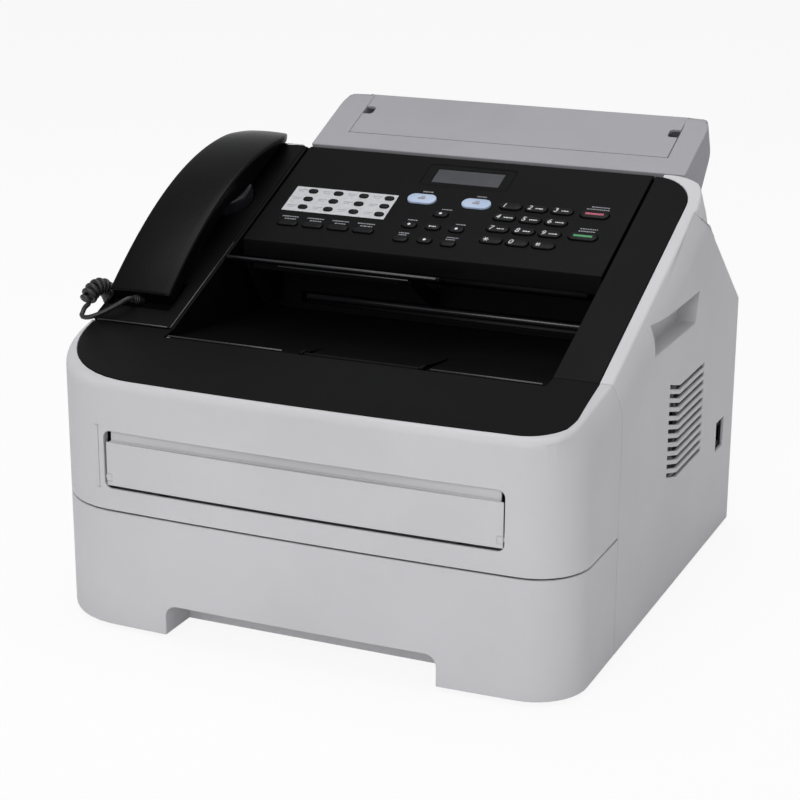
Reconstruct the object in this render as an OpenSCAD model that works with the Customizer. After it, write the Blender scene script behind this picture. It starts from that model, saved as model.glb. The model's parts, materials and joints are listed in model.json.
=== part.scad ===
// Desktop laser fax machine with a side handset.
// Frame: origin under the middle of the whole machine, +X right, +Y back, +Z up.

/* [Body] */
// Width of the body between its side covers
body_w = 368; // [360:1:376]
// Depth of the body at its base
body_d = 368; // [362:1:376]
// Radius of the front corners, seen from above
front_r = 36; // [30:1:40]
// How far the front face bows out at its middle
front_bow = 2.5; // [1:0.5:4]
// Distance from the front face to the seam in the sides
wing_d = 89; // [84:1:94]
// Height of the front deck at its front edge
deck_h = 172.3; // [170:0.1:176]
// Tilt of the front deck
deck_tilt = 8.4; // [7:0.1:10]
// Tilt of the sloping top behind the seam
slope_tilt = 23.5; // [22:0.5:25]
// Length of the sloping top, seen from above
slope_d = 213; // [208:1:218]
// Height of the upright part of the back
back_h = 177; // [172:1:182]
// Radius of the rear corners of the sloping top
crown_r = 36; // [32:1:40]
// Thickness of the plastic walls
wall = 2.5; // [2:0.1:3]
// Gap between neighbouring covers
seam = 0.7; // [0.6:0.1:1]
// Running clearance around a hinge pin or shaft
run_gap = 0.08; // [0.05:0.01:0.1]
// Clearance between pieces that only lie close
fit_gap = 0.3; // [0.25:0.05:0.4]
// Width of the white rim around the black deck at the sides
rim_side = 16; // [14:0.5:18]
// Width of that rim at the back
rim_rear = 3; // [2:0.5:5]
// Radius of the black top's rear corners
plate_r = 30; // [26:1:32]
// Width of that rim at the front
rim_front = 6; // [5:0.5:8]
// Width of that rim beside the front corners
rim_corner = 11; // [10:0.5:13]
// Radius of the black deck's front corners
trim_r = 30; // [26:1:32]

/* [Base] */
// Height of the paper tray's front, up to the seam
tray_h = 83.6; // [80:0.2:88]
// Width of the seam above the paper tray
tray_seam = 1.2; // [1.2:0.1:1.6]
// Height of the rubber feet
foot_h = 2; // [1.5:0.5:3]
// Radius of the rubber feet
foot_r = 8; // [6:1:10]
// Width of the handle notch in the tray's front
notch_w = 193; // [170:1:200]
// Height of the handle notch
notch_h = 24; // [20:1:28]
// Depth of the handle notch
notch_d = 30; // [24:1:36]
// Inner width of the paper tray
bin_w = 300; // [290:1:306]
// Inner length of the paper tray
bin_l = 300; // [297:1:306]
// Height of the paper tray's inner walls
bin_h = 56; // [50:1:60]

/* [Front] */
// Width of the manual feed slot
slot_w = 280; // [270:1:284]
// Height of the manual feed slot
slot_h = 39.7; // [36:0.1:42]
// Height of the slot's lower edge
slot_z = 99.6; // [99:0.1:104]
// Finger gap above the manual feed flap
slot_grip = 8; // [6:0.5:10]
// Corner radius of the manual feed slot
slot_r = 5; // [3:0.5:7]
// How far the manual feed flap lies behind the front face
flap_sink = 1.2; // [1:0.1:1.5]
// Depth of the front cover's hinge axis behind the front face
cover_axle_in = 5.2; // [4.8:0.2:5.6]
// Height of the front cover's hinge axis above its lower edge
cover_axle_up = 9; // [8.6:0.1:9.4]
// Radius of the hinge pins
pin_r = 1.5; // [1.3:0.1:1.6]

/* [Output tray] */
// Width of the output tray
tray_w = 274; // [268:1:276]
// Distance from the front face to the output tray's front edge
tray_in = 76; // [74:1:80]
// Height of the output tray's floor at its front
floor_front = 181; // [180:0.5:182]
// Height of the output tray's floor at its back
floor_back = 170; // [168:0.5:172]
// Distance from the front face to the back wall of the output tray
cave_d = 232; // [226:1:238]
// Width of the paper support flap in the tray's floor
support_w = 82; // [76:1:88]
// Length of the paper support flap
support_l = 50; // [44:1:56]
// Distance of the paper support flap's middle from the machine's middle
support_x = 8; // [4:1:12]

/* [Control panel] */
// Width of the control panel
panel_w = 270; // [264:1:272]
// Length of the control panel along the slope
panel_l = 123; // [121:0.5:124]
// Depth of the control panel's front lip
panel_t = 12.5; // [11:0.5:14]
// Distance from the seam to the control panel's front edge, seen from above
panel_in = 99; // [97:1:101]
// How far the keys stand out of the panel
key_up = 1; // [0.9:0.1:1.4]
// Width of the display
lcd_w = 52; // [46:1:58]
// Height of the display
lcd_h = 16.5; // [14:0.5:20]

/* [Document feeder] */
// Width of the document feeder's housing
feeder_w = 293; // [288:1:298]
// Distance of the housing's middle from the machine's middle
feeder_x = 10.5; // [9:0.5:12]
// Length of the housing along the slope
feeder_l = 78; // [76:0.5:80]
// Width of the fold-out document support
rest_w = 251; // [246:1:256]
// Length of the fold-out document support
rest_l = 52; // [46:1:56]
// Width between the paper guides when they stand open
guide_span = 216; // [214:1:222]

/* [Handset] */
// Width of the handset
handset_w = 48; // [46:1:50]
// Distance of the handset's outer side from the body's side
handset_out = 15; // [13:1:16]
// Thickness of the handset's grip
handset_t = 12; // [11:0.5:13]
// Diameter of the earpiece
ear_d = 44; // [40:1:44]
// Distance of the cradle's outer side from the body's side
cradle_out = 18; // [18:1:20]
// Thickness of the handset cradle
cradle_t = 10; // [8:1:12]
// Diameter of the handset's smooth lead
lead_d = 3.4; // [3:0.2:4]
// Gap between the handset's end face and the start of its lead
lead_gap = 2; // [1.8:0.1:2.4]
// Outer diameter of the curly cord
coil_d = 12.6; // [12:0.2:13]

/* [Sides] */
// Number of cooling slots
vent_count = 11; // [8:1:11]
// Distance between cooling slots
vent_pitch = 6.3; // [5.8:0.1:6.4]
// Height of a cooling slot
vent_h = 3; // [2.5:0.1:3.4]
// Length of the side grips
grip_l = 96; // [90:1:100]
// Height of the side grips
grip_h = 21.2; // [20:0.2:23]

/* [Inside] */
// Thickness of the chassis plates
plate_t = 3; // [2.5:0.1:3.5]
// Distance from the body's side to the upright chassis plates
plate_in = 34; // [33:0.5:35]
// Radius of the photosensitive drum
drum_r = 12; // [11:0.5:13]
// Radius of the pickup roller
pickup_r = 12; // [11:0.5:13]
// Radius of the heat roller
heat_r = 12; // [11:0.5:13]
// Radius of the document feed roller
feed_r = 7; // [6:0.5:8]
// Radius of the cooling fan
fan_r = 27; // [25:0.5:28]

/* [Hidden] */
$fn = 48;

white = "#cfcdd0";
grey_white = "#c2c1c4";
black = "#1d1d1f";
eps = 0.01;
far = 1000;

// Main planes, in the body's own coordinates, with the body's middle as x = y = 0
side_x = body_w / 2;
front_y = -body_d / 2;
back_y = body_d / 2;
nose_y = front_y - front_bow;
seam_y = front_y + wing_d;
slope_back = seam_y + slope_d;
back_tilt = 38;
function deck_z(y) = deck_h + (y - front_y) * tan(deck_tilt);
seam_z = deck_z(seam_y);
function slope_z(y) = seam_z + (y - seam_y) * tan(slope_tilt);
function lean_z(y) = back_h + (back_y - y) * tan(back_tilt);
cover_z = tray_h + tray_seam;
in_x = side_x - wall;

// The row frame stands under the middle of the machine's extent
feeder_nose = 7;
feeder_back = slope_back + (feeder_l - feeder_nose) * cos(slope_tilt) + feeder_nose * sin(slope_tilt) +
    feeder_nose;
extent_left = side_x + cradle_out;
pod_rear = slope_back - 3;
shift_x = (extent_left - side_x) / 2;
shift_y = (-nose_y - max(feeder_back, back_y)) / 2;
module place() { translate([shift_x, shift_y, 0]) children(); }

// Draws a (y, z) outline from x0 to x1
module across(x0, x1, points) {
    translate([x0, 0, 0]) rotate([90, 0, 90]) linear_extrude(x1 - x0) polygon(points);
}

// A box given by its low and high corners
module span(low, high) { translate(low) cube(high - low); }

// A round bar along X
module bar(x0, x1, y, z, r) { translate([x0, y, z]) rotate([0, 90, 0]) cylinder(h = x1 - x0, r = r); }

// Mirrors its children to both sides
module both() { children(); mirror([1, 0, 0]) children(); }

function arc(c, r, a0, a1, n = 10) =
    [for (i = [0:n]) let (a = a0 + (a1 - a0) * i / n) c + r * [cos(a), sin(a)]];
function cubic(a, b, c, d, t) =
    pow(1 - t, 3) * a + 3 * t * pow(1 - t, 2) * b + 3 * t * t * (1 - t) * c + pow(t, 3) * d;

// A curved left corner through four control points, set in by g
function flare(c, g) = [for (i = [0:14]) let (t = i / 14, d = cubic(c[0], c[1], c[2], c[3], t + 0.01) -
    cubic(c[0], c[1], c[2], c[3], t - 0.01), u = d / norm(d))
    cubic(c[0], c[1], c[2], c[3], t) + g * [-u[1], u[0]]];

// The front's outline seen from above, set in by g, and closed at y = rear
bow_half = side_x - front_r;
function bow_y(x, half) = front_y - front_bow * (1 - pow(x / half, 2));
left_curve = [[-extent_left, seam_y - 1], [-extent_left + 2.5, seam_y - 33], [-extent_left + 16, front_y + 4],
    [-bow_half + 8, bow_y(-bow_half + 8, bow_half)]];
function front_outline(g, rear) = concat(
    [[-extent_left + g, rear]],
    flare(left_curve, g),
    [for (i = [1:11]) let (x = bow_half * (i - 6) / 6) [x, bow_y(x, bow_half) + g]],
    arc([bow_half, front_y + front_r], front_r - g, 270, 360),
    [[side_x - g, rear]]);
// The sloping top's outline seen from above, set in by side and rear, with rear corners of radius r
function crown_outline(side, rear, r) = concat(
    [[-side_x + side, seam_y], [side_x - side, seam_y]],
    arc([side_x - side - r, slope_back - rear - r], r, 0, 90),
    arc([-side_x + side + r, slope_back - rear - r], r, 90, 180));
// A bar shape with round ends, length l and width w, extruded up from z0 to z1
module pill(l, w, z0, z1) {
    translate([0, 0, z0]) linear_extrude(z1 - z0) union() {
        square([l - w, w], center = true);
        for (s = [-1, 1]) translate([s * (l - w) / 2, 0]) circle(d = w);
    }
}
// A rounded rectangle l by w with corner radius r
module soft_square(l, w, r) {
    square([l - 2 * r, w], center = true);
    square([l, w - 2 * r], center = true);
    for (sx = [-1, 1], sy = [-1, 1]) translate([sx * (l / 2 - r), sy * (w / 2 - r)]) circle(r = r);
}

// ---- Slope frame: x across, s up the slope, h out of it ----
module on_slope(y) { translate([0, y, slope_z(y)]) rotate([slope_tilt, 0, 0]) children(); }
module on_top() { on_slope(seam_y) children(); }
panel_y = seam_y + panel_in;
module on_panel() { on_slope(panel_y) children(); }

// ---- Paper tray ----
bin_front = front_y + notch_d + 1.8 * wall;
bin_back = bin_front + bin_l + 2 * wall;
bin_x = bin_w / 2 + wall;
bin_z = foot_h + 1;
rail_x = bin_x + 4;
rail_z = 40;

module tray_notch(grow) {
    x = notch_w / 2 + grow;
    r = 8;
    top = notch_h + grow;
    translate([0, nose_y - eps, 0]) rotate([90, 0, 0]) mirror([0, 0, 1])
        linear_extrude(notch_d + front_bow + grow) union() {
            translate([-x, -1]) square([2 * x, top - r + 1]);
            translate([-x + r, -1]) square([2 * x - 2 * r, top + 1]);
            for (s = [-1, 1]) translate([s * (x - r), top - r]) circle(r = r);
        }
}

module paper_tray() color(white) place() {
    difference() {
        union() {
            difference() {
                translate([0, 0, bin_z]) linear_extrude(tray_h - bin_z) polygon(front_outline(0,
                    seam_y - seam / 2));
                translate([0, 0, bin_z - eps]) linear_extrude(tray_h) polygon(front_outline(wall,
                    seam_y + 1));
            }
            intersection() {
                tray_notch(wall);
                span([-side_x, front_y + wall - front_bow - seam, bin_z], [side_x, far, far]);
            }
            span([-bin_x, bin_front - wall, bin_z], [bin_x, bin_back, bin_h + bin_z]);
            both() span([bin_x - eps, bin_front, rail_z], [rail_x - fit_gap, bin_back, rail_z + plate_t]);
            intersection() {
                linear_extrude(far) polygon(front_outline(wall / 2, seam_y - seam));
                union() {
                    both() span([bin_x - eps, bin_front, bin_z], [far, seam_y - seam, bin_z + wall]);
                    span([-far, seam_y - seam - wall, bin_z], [-in_x, far, tray_h]);
                }
            }
        }
        tray_notch(0);
        span([-bin_x + wall, bin_front, bin_z + wall], [bin_x - wall, bin_back - wall, far]);
    }
}

// ---- Chassis ----
deck_low = tray_h + tray_seam;
deck_front = seam_y;
plate_x = side_x - plate_in;
plate_top = floor_back - wall - 2;
fan_y = back_y - 124;
fan_z = 118;
pickup_y = seam_y - 22;
pickup_z = bin_z + bin_h + pickup_r + 2;
cover_axle = [nose_y + cover_axle_in, cover_z + cover_axle_up];
sweep = norm([cover_axle_in, cover_axle_up]);
hook_x = [102, 107];
fan_x = in_x - fit_gap - 16;

module chassis() color("#8f9296") place() {
    both() {
        // lower side walls, which the covers stand beside and the tray slides between
        difference() {
            span([rail_x, seam_y + 1, foot_h], [rail_x + plate_t, back_y - wall - 1, deck_low + plate_t]);
            span([in_x - fit_gap - jack_l - 1, jack_y - jack_w / 2 - 1, jack_z - jack_h / 2 - 1],
                [far, jack_y + jack_w / 2 + 1, far]);
        }
        span([rail_x, seam_y + 1, foot_h], [in_x - fit_gap, back_y - wall - 1, foot_h + plate_t]);
        span([bin_x + fit_gap, seam_y + 1, rail_z - fit_gap - plate_t], [rail_x + eps,
            back_y - wall - 2, rail_z - fit_gap]);
        // upright plates that carry the print engine
        span([plate_x, cover_axle[0] + sweep + 1, deck_low], [plate_x + plate_t, back_y - 30, plate_top]);
        difference() {
            // hooks that carry the front cover's hinge pins
            span([hook_x[0], cover_axle[0] - 0.9, cover_axle[1] - 0.9],
                [hook_x[1], cover_axle[0] + sweep + 1 + eps, cover_axle[1] + 5]);
            bar(0, far, cover_axle[0], cover_axle[1], pin_r + fit_gap);
        }
    }
    difference() {
        // deck above the paper tray
        span([-in_x + fit_gap, deck_front + 1, deck_low], [in_x - fit_gap, back_y - wall - 1,
            deck_low + plate_t]);
        span([-plate_x, deck_front, deck_low - 1], [plate_x, deck_front + 20, deck_low + plate_t + 1]);
        span([in_x - fit_gap - jack_l - 1, jack_y - jack_w / 2 - 1, 0], [far, jack_y + jack_w / 2 + 1,
            far]);
    }
    // front rail between the upright plates
    span([-plate_x, cover_axle[0] + sweep + 1, cover_axle[1] - 4],
        [plate_x, cover_axle[0] + sweep + 5, cover_axle[1] + 5]);
    // rear wall, open where the back cover gives access to the fuser
    difference() {
        span([-in_x + fit_gap, back_y - wall - 1 - plate_t, foot_h], [in_x - fit_gap,
            back_y - wall - 1, plate_top]);
        span([-rail_x, 0, 0], [rail_x, far, deck_low - 20]);
        span([-plate_x + 15, 0, deck_low + 12], [plate_x - 15, far, plate_top - 6]);
    }
    // square frame of the cooling fan
    difference() {
        span([fan_x, fan_y - fan_r - 3, fan_z - fan_r - 3], [fan_x + 12, fan_y + fan_r + 3,
            fan_z + fan_r + 3]);
        bar(0, far, fan_y, fan_z, fan_r + 1);
    }
    difference() {
        union() {
            bar(fan_x + 9, fan_x + 12, fan_y, fan_z, 7);
            for (a = [45, 135]) translate([fan_x + 10.5, fan_y, fan_z]) rotate([a, 0, 0])
                cube([3, 2 * fan_r + 4, 3], center = true);
            span([fan_x, fan_y - 10, deck_low + eps], [fan_x + 12, fan_y + 10, fan_z - fan_r - 2]);
        }
        bar(fan_x, far, fan_y, fan_z, 1.5 + run_gap);
    }
    // two bearing arms of the pickup roller
    both() difference() {
        span([30, pickup_y - 5, pickup_z - 5], [33, deck_front + 24, pickup_z + 6]);
        bar(0, far, pickup_y, pickup_z, 3 + run_gap);
    }
    both() span([30, deck_front + 21, pickup_z], [33, deck_front + 24, deck_low + eps]);
}

module rubber_feet() color("#262626") place() {
    for (x = [-1, 1], y = [seam_y + 16, back_y - 24])
        translate([x * (rail_x + plate_t + 4), y, 0]) cylinder(h = foot_h, r = foot_r);
}

// ---- Side covers ----
vent_z = [for (i = [0:vent_count - 1]) 150.2 - i * vent_pitch];
vent_bend = 35;
vent_rear = 96;
vent_front = 10;
grip_y = -29;
grip_z = 186.3;
jack_y = 148.5;
jack_z = 81;
jack_w = 21;
jack_h = 22;
jack_l = 16;

// Body shape behind the seam, set in by g
module body_solid(g) {
    across(-side_x + g, side_x - g, [
        [seam_y + seam / 2 + g, foot_h + 1 + g], [back_y - g, foot_h + 1 + g], [back_y - g, back_h - g],
        [seam_y + seam / 2 + g, lean_z(seam_y) - g * 1.3]]);
}

module crown_solid(g) {
    linear_extrude(far) polygon(crown_outline(g, g, crown_r - g));
}

// The white side shell for x > 0, with its rim and its part of the back
module side_shell() {
    difference() {
        union() {
            difference() {
                intersection() { body_solid(0); under_slope(0); }
                intersection() { body_solid(wall); under_slope(wall); }
            }
            difference() {
                intersection() { crown_solid(0); under_slope(0); across(-far, far, crown_rear(0)); }
                intersection() { crown_solid(wall); under_slope(wall); across(-far, far,
                    crown_rear(wall)); }
            }
        }
        span([-far, -far, -far], [side_x - front_r - 6, far, far]);
        // the well of the black top
        translate([0, 0, slope_z(seam_y) - 30]) linear_extrude(far) polygon(crown_outline(rim_side,
            rim_rear, plate_r));
        // open towards the chassis below the rim
        span([0, seam_y - 1, foot_h], [in_x, seam_y + seam + wall + 1, seam_z - 2 * wall]);
        span([0, seam_y, -1], [in_x, back_y - wall, foot_h + 2 * wall]);
    }
}
function crown_rear(g) = [
    [seam_y + seam / 2 + g, slope_z(seam_y) - 30], [slope_back, lean_z(slope_back) - 4],
    [slope_back, far], [seam_y + seam / 2 + g, far]];
module under_slope(g) {
    across(-far, far, [[seam_y - 1, -far], [far, -far], [far, slope_z(far) - g / cos(slope_tilt)],
        [seam_y - 1, slope_z(seam_y - 1) - g / cos(slope_tilt)]]);
}

module side_features() {
    back_pins(run_gap);
    // cooling slots, bent near their front
    for (z = vent_z) {
        span([in_x - 1, vent_bend, z - vent_h], [far, vent_rear, z]);
        across(in_x - 1, far, [[vent_front, z + 7 - vent_h], [vent_front, z + 7],
            [vent_bend + eps, z], [vent_bend + eps, z - vent_h]]);
    }
    grip_cut(0);
    // pocket of the line jack
    span([in_x - 1, jack_y - jack_w / 2, jack_z - jack_h / 2], [far, jack_y + jack_w / 2,
        jack_z + jack_h / 2]);
}
module grip_cut(g) {
    across(in_x - 12 - g, far, [[grip_y - g, grip_z - g], [grip_y + grip_l + g, grip_z - g],
        [grip_y + grip_l + 7 + g, grip_z + grip_h + g], [grip_y - g, grip_z + grip_h + g]]);
}

module right_cover() color(white) place() {
    difference() {
        union() {
            side_shell();
            intersection() { grip_cut(wall); span([0, -far, 0], [in_x + eps, far, far]); }
        }
        side_features();
    }
}

// The wide part of the left side, which carries the handset's cradle, set in by g
module pod(g, low) {
    r = 14;
    y0 = seam_y + seam / 2 + g;
    intersection() {
        translate([0, 0, low]) linear_extrude(far) polygon(concat(
            [[side_x - eps, y0], [extent_left - g, y0]],
            arc([extent_left - r, pod_rear - r], r - g, 0, 90), [[side_x - eps, pod_rear - g]]));
        under_slope(g > 0 ? cradle_t + fit_gap + g : 0);
    }
}
module left_cover() color(white) place() mirror([1, 0, 0]) {
    difference() {
        union() {
            side_shell();
            difference() { pod(0, foot_h); pod(wall, -1); }
            intersection() { grip_cut(wall); span([0, -far, 0], [extent_left - eps, far, far]); }
        }
        back_pins(run_gap);
        for (z = vent_z) span([in_x - 1, vent_bend, z - vent_h], [far, vent_rear, z]);
        grip_cut(0);
        // seat of the handset cradle
        on_top() span([0, -6, -cradle_t - fit_gap], [far, cradle_s[1] + fit_gap, far]);
        // socket of the handset's jack
        translate([0, hand_jack[1], hand_jack[2]]) rotate([0, 90, 0]) cylinder(h = far, r = 7);
        translate([side_x + eps, hand_jack[1], hand_jack[2]]) rotate([0, 90, 0]) cylinder(h = far, r = 11);
    }
}

// ---- Modular jacks ----
module jack_block(x, y, z, w, h) {
    difference() {
        span([x - jack_l, y - w / 2, z - h / 2], [x, y + w / 2, z + h / 2]);
        span([x - 10, y - w / 2 + 3, z - h / 2 + 4], [x + 1, y + w / 2 - 3, z + h / 2 - 6]);
        span([x - 10, y - 3, z - h / 2 + 3], [x + 1, y + 3, z + h / 2 - 3]);
    }
}
module modular_jacks() color("#17171a") place() {
    jack_block(in_x - fit_gap, jack_y, jack_z, jack_w, jack_h);
    translate([-in_x + fit_gap, hand_jack[1], hand_jack[2]]) rotate([0, 90, 0]) cylinder(h = 12, r = 6.5);
}

// ---- Top cover with the output tray ----
tray_x = tray_w / 2;
tray_y = front_y + tray_in;
cave_y = front_y + cave_d;
floor_turn = 0;
panel_x = panel_w / 2;
support_x0 = support_x - support_w / 2;
support_x1 = support_x + support_w / 2;
support_y = tray_y + 4.5;
support_z = floor_front + 0.8;
function floor_z(y) = y > floor_turn ? floor_back
    : floor_front + (y - tray_y) * (floor_back - floor_front) / (floor_turn - tray_y);
out_axle = [panel_y - 8, slope_z(panel_y) - panel_t - 2];
flap_reach = 16;
flap_edge = slope_z(out_axle[0] - flap_reach) + 2;
flap_lean = 18;
out_pivot_x = [-125, 0];
flap_x = [-136.5, 28];

module tray_floor(x, y0) {
    across(-x, x, [[y0, floor_z(y0)], [floor_turn, floor_back], [cave_y, floor_back],
        [cave_y, floor_back - wall], [floor_turn, floor_back - wall], [y0, floor_z(y0) - wall]]);
}

module top_cover() color(black) place() {
    difference() {
        // plate on the slope, cut out for the panel and the output tray
        intersection() {
            linear_extrude(far) polygon(crown_outline(rim_side + fit_gap, rim_rear + fit_gap, plate_r));
            difference() { under_slope(0); under_slope(wall); }
        }
        span([-tray_x, seam_y - 1, 0], [tray_x, slope_back - wall, far]);
        panel_axle(run_gap);
        on_top() span([-far, cradle_s[0] - 6, -cradle_t - fit_gap], [cradle_in + eps,
            cradle_s[1] + fit_gap, far]);
    }
    // side walls of the output tray and of the panel's well
    difference() {
        both() across(tray_x, tray_x + wall, [[seam_y + fit_gap + 2, floor_z(seam_y) - wall],
            [floor_turn, floor_back - wall],
            [slope_back - wall, floor_back - wall], [slope_back - wall,
                slope_z(slope_back - wall) - wall],
            [seam_y + fit_gap + 2, slope_z(seam_y + 2) - 0.5 * wall]]);
        panel_axle(run_gap);
    }
    // floor of the output tray, clear of the front cover's sides
    difference() {
        union() {
            tray_floor(tray_x - fit_gap, tray_y + fit_gap);
            tray_floor(tray_x + eps, seam_y + fit_gap + 2);
        }
        bar(support_x0 - 4, support_x1 + 4, support_y, support_z, pin_r + run_gap);
        across(support_x0 - fit_gap, support_x1 + fit_gap, [[tray_y - 1, support_z + 9], [tray_y - 1,
            floor_front - 1.7],
            [tray_y + support_l + 6, floor_z(tray_y + support_l + 6) - 1.7], [tray_y + support_l + 6,
                support_z + 9]]);
    }
    // ears of the paper support flap
    for (x = [support_x0 - 3 - fit_gap, support_x1 + fit_gap]) difference() {
        span([x, support_y - 3, floor_front - wall], [x + 3, support_y + 5, support_z + 2.5]);
        bar(x - 1, x + 4, support_y, support_z, pin_r + run_gap);
    }
    // back wall of the output tray, with the paper's exit slot
    difference() {
        span([-tray_x - wall, cave_y - wall, floor_back - wall], [tray_x + wall, cave_y,
            scanner_low - fit_gap]);
        span([-110, cave_y - 5, floor_back + 4], [110, cave_y + 5, floor_back + 13]);
    }
    // brackets of the document output flap
    for (x = out_pivot_x) let (low = floor_back + (x < -50 ? 8 : 14)) difference() {
        across(x - 1.5, x + 1.5, [
            [out_axle[0] - 3, out_axle[1] - 3], [out_axle[0] - 3, out_axle[1] + 2.6],
            [out_axle[0] + 3, out_axle[1] + 2.6], [out_axle[0] + 7, out_axle[1] - 1],
            [cave_y - 12, scanner_low - 3], [cave_y - eps, scanner_low - 3], [cave_y - eps, low],
            [x < -50 ? out_axle[0] + 22 : cave_y - 12, low]]);
        bar(x - 3, x + 3, out_axle[0], out_axle[1], pin_r + run_gap);
    }
}

// Hinge of the control panel, with the radius grown by g
panel_axle_s = panel_l - 3;
module panel_axle(g) {
    on_panel() translate([-panel_x - wall - 3, panel_axle_s, -3]) rotate([0, 90, 0])
        cylinder(h = panel_w + 2 * wall + 6, r = 2 + g);
}

floor_fall = atan((floor_front - floor_back) / (floor_turn - tray_y));
module output_flap() color("#202022") place() {
    translate([0, support_y, support_z]) rotate([-floor_fall, 0, 0])
        span([support_x0, 0, -1.6], [support_x1, support_l, 0]);
    bar(support_x0, support_x1, support_y, support_z, 1.9);
    bar(support_x0 - 3, support_x1 + 3, support_y, support_z, pin_r);
}

// The flap's plate leans back and down from its front edge, as (y, z) at d behind that edge
function flap_line(d) = [out_axle[0] - flap_reach + d, flap_edge - d * tan(flap_lean)];
module document_output_flap() color("#202022") place() {
    for (x = out_pivot_x) {
        for (s = [-1, 1]) across(x + s * 3.3 - 1.3, x + s * 3.3 + 1.3, [
            [out_axle[0] - 2.6, out_axle[1] - 2.6], [out_axle[0] + 2.6, out_axle[1] - 2.6],
            [out_axle[0] + 2.6, out_axle[1] + 2], flap_line(11) + [0, 0.5], flap_line(4)]);
        bar(x - 4.6, x + 4.6, out_axle[0], out_axle[1], pin_r);
    }
    across(flap_x[0], flap_x[1], [flap_line(0) + [0, 1], flap_line(0) - [0, 1], flap_line(11) - [0, 1],
        flap_line(11) + [0, 1]]);
    bar(flap_x[0], flap_x[1], flap_line(0.4)[0], flap_line(0.4)[1], 1.7);
    // stiffening rib between the arms
    across(out_pivot_x[0] + 6, out_pivot_x[1] - 6, [flap_line(8), flap_line(8) - [0, 5.6],
        flap_line(9.6) - [0, 5.6], flap_line(9.6)]);
}

// ---- Front cover ----
slot_top = slot_z + slot_h;
module deck_slab(top, bottom) {
    across(-far, far, [[-far, deck_z(-far) - top], [seam_y - seam / 2, deck_z(seam_y) - top],
        [seam_y - seam / 2, bottom], [-far, bottom]]);
}
module slot_shape(g, top) {
    // the manual feed slot's outline, grown by g, as seen from the front
    x = slot_w / 2 + g;
    h = top - slot_z + 2 * g;
    translate([0, 0, slot_z - g + h / 2]) rotate([90, 0, 0]) translate([0, 0, -front_y - 12])
        linear_extrude(far) soft_square(2 * x, h, slot_r);
}
cover_lug = [95, 100];

module front_cover() color(white) place() {
    difference() {
        intersection() {
            linear_extrude(far) polygon(front_outline(0, seam_y - seam / 2));
            deck_slab(0, cover_z);
        }
        intersection() {
            translate([0, 0, -1]) linear_extrude(far) polygon(front_outline(wall, seam_y + 1));
            deck_slab(2 * wall, -far);
        }
        // seat of the black trim
        intersection() {
            linear_extrude(far) polygon(trim_outline(-fit_gap, seam_y + 1));
            translate([0, 0, -wall]) difference() { linear_extrude(far) square(far,
                center = true); deck_slab(0, -far); }
        }
        span([-tray_x, tray_y - fit_gap, tray_h], [tray_x, far, far]);
        span([-tray_x - wall - 2, seam_y - 4, seam_z - 3 * wall], [tray_x + wall + 2, far, far]);
        slot_shape(0, slot_top);
        flap_pins(run_gap);
    }
    // end wall of the wide left side
    intersection() {
        linear_extrude(far) polygon(front_outline(wall / 2, seam_y - seam / 2));
        span([-far, seam_y - seam / 2 - wall, cover_z], [-in_x, far, far]);
        deck_slab(2 * wall - eps, 0);
    }
    // frame behind the slot, with the flap's bearings
    difference() {
        for (s = [-1, 1]) span([s * (slot_w / 2 + 2) - 2, front_y, slot_z], [s * (slot_w / 2 + 2) + 2,
            flap_axle[0] + 3, slot_top + 3]);
        flap_pins(run_gap);
    }
    // lugs and pins of the cover's hinge
    both() {
        span([cover_lug[0], cover_axle[0] - 2.5, cover_axle[1] - 2], [cover_lug[1], cover_axle[0] + 2,
            cover_axle[1] + 2]);
        bar(cover_lug[0], hook_x[1], cover_axle[0], cover_axle[1], pin_r);
    }
}

// The black trim's outline, set in by g from the pocket that it lies in
trim_x = side_x - rim_corner - trim_r;
trim_curve = [[-extent_left + 3.1, seam_y - 1], [-extent_left + 4, seam_y - 29],
    [-extent_left + 26, front_y + 4.5], [-trim_x + 25, bow_y(-trim_x + 25, trim_x) + rim_front]];
function trim_outline(g, rear) = concat(
    [[-extent_left + 3.1 + g, rear]],
    flare(trim_curve, g),
    [for (i = [2:9]) let (x = trim_x * (i - 5) / 5) [x, bow_y(x, trim_x) + rim_front + g]],
    arc([trim_x, front_y + rim_front + trim_r], trim_r - g, 270, 360),
    [[side_x - rim_side - g, rear]]);

module front_cover_trim() color(black) place() {
    difference() {
        intersection() {
            linear_extrude(far) polygon(trim_outline(0, seam_y - seam / 2));
            difference() { deck_slab(0, -far); deck_slab(wall - fit_gap, -far - 1); }
        }
        span([-tray_x, tray_y - fit_gap, 0], [tray_x, far, far]);
    }
}

// ---- Manual feed flap ----
flap_axle = [nose_y + 5.6, slot_z + 7.4];
flap_w = slot_w - 2.2;
flap_low = slot_z + 1.8;
flap_top = slot_top - slot_grip;
grip_face = front_y + 3.4;
module flap_pins(g) {
    for (s = [-1, 1]) bar(s * (slot_w / 2 + 0.5) - 3, s * (slot_w / 2 + 0.5) + 3, flap_axle[0],
        flap_axle[1], pin_r + g);
}
module manual_feed_flap() color(white) place() {
    intersection() {
        linear_extrude(far) polygon(front_outline(flap_sink, seam_y));
        span([-flap_w / 2, -far, flap_low], [flap_w / 2, front_y + 2, flap_top]);
    }
    // sunken finger grip along the flap's top
    across(-flap_w / 2 + 2.5, flap_w / 2 - 2.5, [
        [front_y + 1.4, flap_top - 4], [front_y + 1.4, flap_top - 0.5], [grip_face, flap_top + 1],
        [grip_face, slot_top - 0.9], [grip_face + 1.8, slot_top - 0.9], [grip_face + 1.8, flap_top],
        [front_y + 3.4, flap_top - 4]]);
    for (s = [-1, 1]) span([s * (flap_w / 2 - 2) - 2, nose_y + 3, flap_axle[1] - 2.4],
        [s * (flap_w / 2 - 2) + 2, flap_axle[0] + 2.4, flap_axle[1] + 2.4]);
    flap_pins(0);
}

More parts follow.
